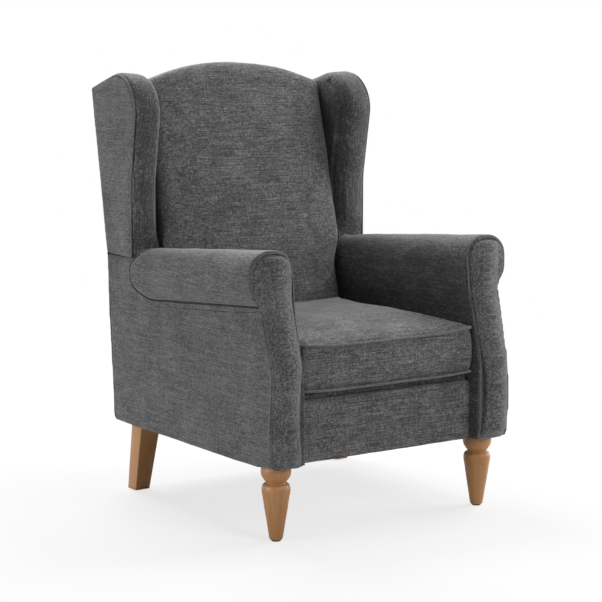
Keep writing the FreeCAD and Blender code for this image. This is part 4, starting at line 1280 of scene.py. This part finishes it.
def seamShape(point):
    # seams that turn up at the corners, a lower seam that stands off the platform, and a crowned top
    dx, dy = insideEdges(point)
    near = math.exp(-(math.hypot(dx, dy) / seat["earReach"]) ** 2)
    edge = math.exp(-(min(dx, dy) / seat["edgeReach"]) ** 2)
    share = ramp(point.z, seat["lowSeam"], seat["highSeam"])
    rise = (seat["lowRise"] + seat["lowEar"] * near) * edge * (1 - share)
    rise += (seat["earRise"] * near - seat["topSink"] * (1 - near) * edge) * share
    if point.z > seat["highSeam"]:
        across = 1 - (point.x / seat["half"]) ** 2
        along = 1 - ((2 * point.y - seat["front"] - seat["rear"]) / (seat["rear"] - seat["front"])) ** 2
        rise += seat["crown"] * max(across, 0) ** 0.7 * max(along, 0) ** 0.7
    return Vector((point.x, point.y, point.z + rise))


def fillCorner(point):
    # stuffing that pushes the corners of the border out
    near = math.exp(-(math.hypot(*insideEdges(point)) / seat["fillReach"]) ** 2)
    high = ramp(point.z, seat["lowSeam"], seat["highSeam"])
    push = seat["cornerFill"] * near * math.sin(math.pi * high) ** 0.5
    middle = (seat["front"] + seat["rear"]) / 2
    x = min(abs(point.x) + push, max(abs(point.x), seat["half"] - seat["fillClear"]))
    y = point.y + math.copysign(push * 0.6, point.y - middle)
    return Vector((math.copysign(x, point.x), y, point.z))


def nearSeam(point):
    high = min(abs(point.z - seat["lowSeam"]), abs(point.z - seat["highSeam"]))
    return high < seat["heldHigh"] and min(insideEdges(point)) < seat["heldDeep"]


nodes = ["cushion_cover", "cushion_foam"]
piece = softPiece("seatCushion", nodes, clothX, seat)
softSimulate(piece, nearSeam, seat)
for z in (seat["lowSeam"], seat["highSeam"]):
    line = [Vector((u, v, z)) for u, v in outlinePoints(seatCorners, seat["seamInset"])]
    pressSeam(piece, line, *seat["seamPress"], True, seat["gather"], seat["pitch"])
movePoints(piece.data, numpy.array([seamShape(fillCorner(Vector(p))) for p in pointsOf(piece.data)]))
unevenCloth(piece, seat, 31)
refine(piece)
finishPiece(piece, "cushion", nodes)
for name, z, node in (("topSeatPiping", seat["highSeam"], "cushion_top_welt"),
                      ("lowSeatPiping", seat["lowSeam"], "cushion_bottom_welt")):
    line = [seamShape(Vector((u, v, z))) for u, v in outlinePoints(seatCorners, seat["weltRadius"])]
    finishPiece(pipe(name, line, seat["weltRadius"], pipingHighlightX, True), "cushion", [node])

zipper = {
    "half": 0.2, "middle": 0.3721, "face": 0.1165, "tapeThick": 0.0011, "tapeHigh": 0.0128, "tapeParts": 100,
    "pitch": 0.0025, "toothHigh": 0.0031, "toothWide": 0.0017, "toothThick": 0.0016, "overlap": 0.0006,
}


def makeTapes():
    # two tapes with a folded edge
    z0, face, thick, high = zipper["middle"], zipper["face"], zipper["tapeThick"], zipper["tapeHigh"]
    profile = [(0.0006, 0.0), (0.0006, thick), (0.0022, thick * 1.02), (0.0052, thick), (0.0056, thick * 0.8),
               (high - 0.001, thick * 0.8), (high, thick * 0.4), (high, 0.0)]
    lofts = []
    for side in (-1, 1):
        rings = []
        for k in range(zipper["tapeParts"] + 1):
            x = zipper["half"] * (2 * k / zipper["tapeParts"] - 1)
            wave = 0.00012 * math.sin(k * 0.9 + side)
            rings.append([(x, face + depth + (wave if depth else 0), z0 + side * rise)
                          for rise, depth in profile])
        lofts.append(rings)
    piece = loftPiece("zipTapes", lofts, tapeCloth, smooth=False)
    finishPiece(piece, "cushion", ["zip_tape"])


def makeTeeth():
    # teeth that hook into each other between the tapes
    y = zipper["face"] + zipper["tapeThick"] - 0.0002
    steps = ((0.0, 0.62), (0.14, 0.95), (0.32, 1.0), (0.45, 0.72), (0.9, 0.72), (1.0, 0.5))   # place, width
    lofts = []
    for k in range(round(2 * zipper["half"] / zipper["pitch"]) - 3):
        for side in (-1, 1):
            x = -zipper["half"] + zipper["pitch"] * (k + 1.5 + 0.25 * side)
            rings = []
            for share, narrow in steps:
                z = zipper["middle"] + side * (zipper["toothHigh"] * share - zipper["overlap"])
                wide, deep = zipper["toothWide"] * 0.31 * narrow, zipper["toothThick"] * (0.8 + 0.2 * narrow)
                rings.append([(x - wide, y, z), (x + wide, y, z), (x + wide, y + deep * 0.7, z),
                              (x + wide * 0.6, y + deep, z), (x - wide * 0.6, y + deep, z),
                              (x - wide, y + deep * 0.7, z)])
            lofts.append(rings)
    finishPiece(loftPiece("zipTeeth", lofts, zipMetal, smooth=False), "cushion")


makeTapes()
makeTeeth()
print("seat cushion made")

# legs

turnedLeg = {
    "x": 0.282, "y": -0.342, "sides": 96,
    "rings": [   # radius and height, from the hem down
        (0.0300, 0.1670), (0.0322, 0.1655), (0.0331, 0.1610), (0.0335, 0.1550), (0.0331, 0.1510),
        (0.0320, 0.1470), (0.0300, 0.1425), (0.0270, 0.1378), (0.0240, 0.1340), (0.0222, 0.1318),
        (0.0216, 0.1303), (0.0216, 0.1287), (0.0222, 0.1281), (0.0258, 0.1280), (0.0266, 0.1276),
        (0.0290, 0.1255), (0.0305, 0.1225), (0.0313, 0.1180), (0.0316, 0.1130), (0.0310, 0.1085),
        (0.0286, 0.0950), (0.0250, 0.0700), (0.0205, 0.0430), (0.0172, 0.0210), (0.0155, 0.0100),
        (0.0151, 0.0075), (0.0140, 0.0045), (0.0125, 0.0030),
    ],
}
rakedLeg = {
    "outer": 0.316, "footY": 0.220, "topY": 0.189, "edge": 0.0022, "foot": 0.003,
    "footWidth": 0.039, "topWidth": 0.054, "footDepth": 0.039, "topDepth": 0.046, "levels": 12,
}


def makeTurnedLeg(name, x):
    angles = [2 * math.pi * k / turnedLeg["sides"] for k in range(turnedLeg["sides"])]
    rings = [[(x + radius * math.cos(a), turnedLeg["y"] + radius * math.sin(a), z) for a in angles]
             for radius, z in turnedLeg["rings"]]
    return loftPiece(name, [rings], legWood)


def makeRakedLeg(name, sign):
    leg, rings = rakedLeg, []
    for step in range(leg["levels"] + 1):
        share = step / leg["levels"]
        z = leg["foot"] + (chair["hem"] - leg["foot"]) * share
        width = leg["footWidth"] + (leg["topWidth"] - leg["footWidth"]) * share
        depth = leg["footDepth"] + (leg["topDepth"] - leg["footDepth"]) * share
        y = leg["footY"] + (leg["topY"] - leg["footY"]) * share
        x0, x1 = leg["outer"] - width, leg["outer"]
        corners = [(x, v, leg["edge"]) for x, v in ((x0, y), (x1, y), (x1, y + depth), (x0, y + depth))]
        rings.append([(sign * x, v, z) for arc in outlineArcs(corners) for x, v in arcPoints(arc, 4)])
    return loftPiece(name, [rings], legWood)


for side, sign in (("left", -1), ("right", 1)):
    leg = makeTurnedLeg(side + "FrontLeg", sign * turnedLeg["x"])
    finishPiece(leg, "frame", [side + "_front_leg"])
    finishPiece(makeRakedLeg(side + "RearLeg", sign), "frame", [side + "_rear_leg"])
print("legs made")

# finishes of the pieces that stay as built

slotFinish = {
    "frame_wood": railWood, "leg_wood": legWood, "spring_steel": springSteel, "glide_plastic": glidePlastic,
    "webbing": webbingCloth, "zip_tape": tapeCloth, "zip_metal": zipMetal, "lining": liningCloth,
    "foam": foamCloth, "felt": feltCloth, "upholstery": clothX, "piping": pipingHighlightX,
}
uprightNodes = ("back_post", "arm_post", "wing_board", "leg_blocks")
alongNodes = ("seat_rail", "arm_rail")
for entry in frame["record"]["subparts"]:
    finish = slotFinish[entry["material_slot"]]
    if finish is railWood:
        if entry["node"].endswith(uprightNodes):
            finish = postWood
        elif entry["node"].endswith(alongNodes) and not entry["node"].startswith(("front_", "rear_")):
            finish = sideWood
    for place in frame["nodes"][entry["node"]].material_slots:
        place.material = finish
print("inner pieces finished")
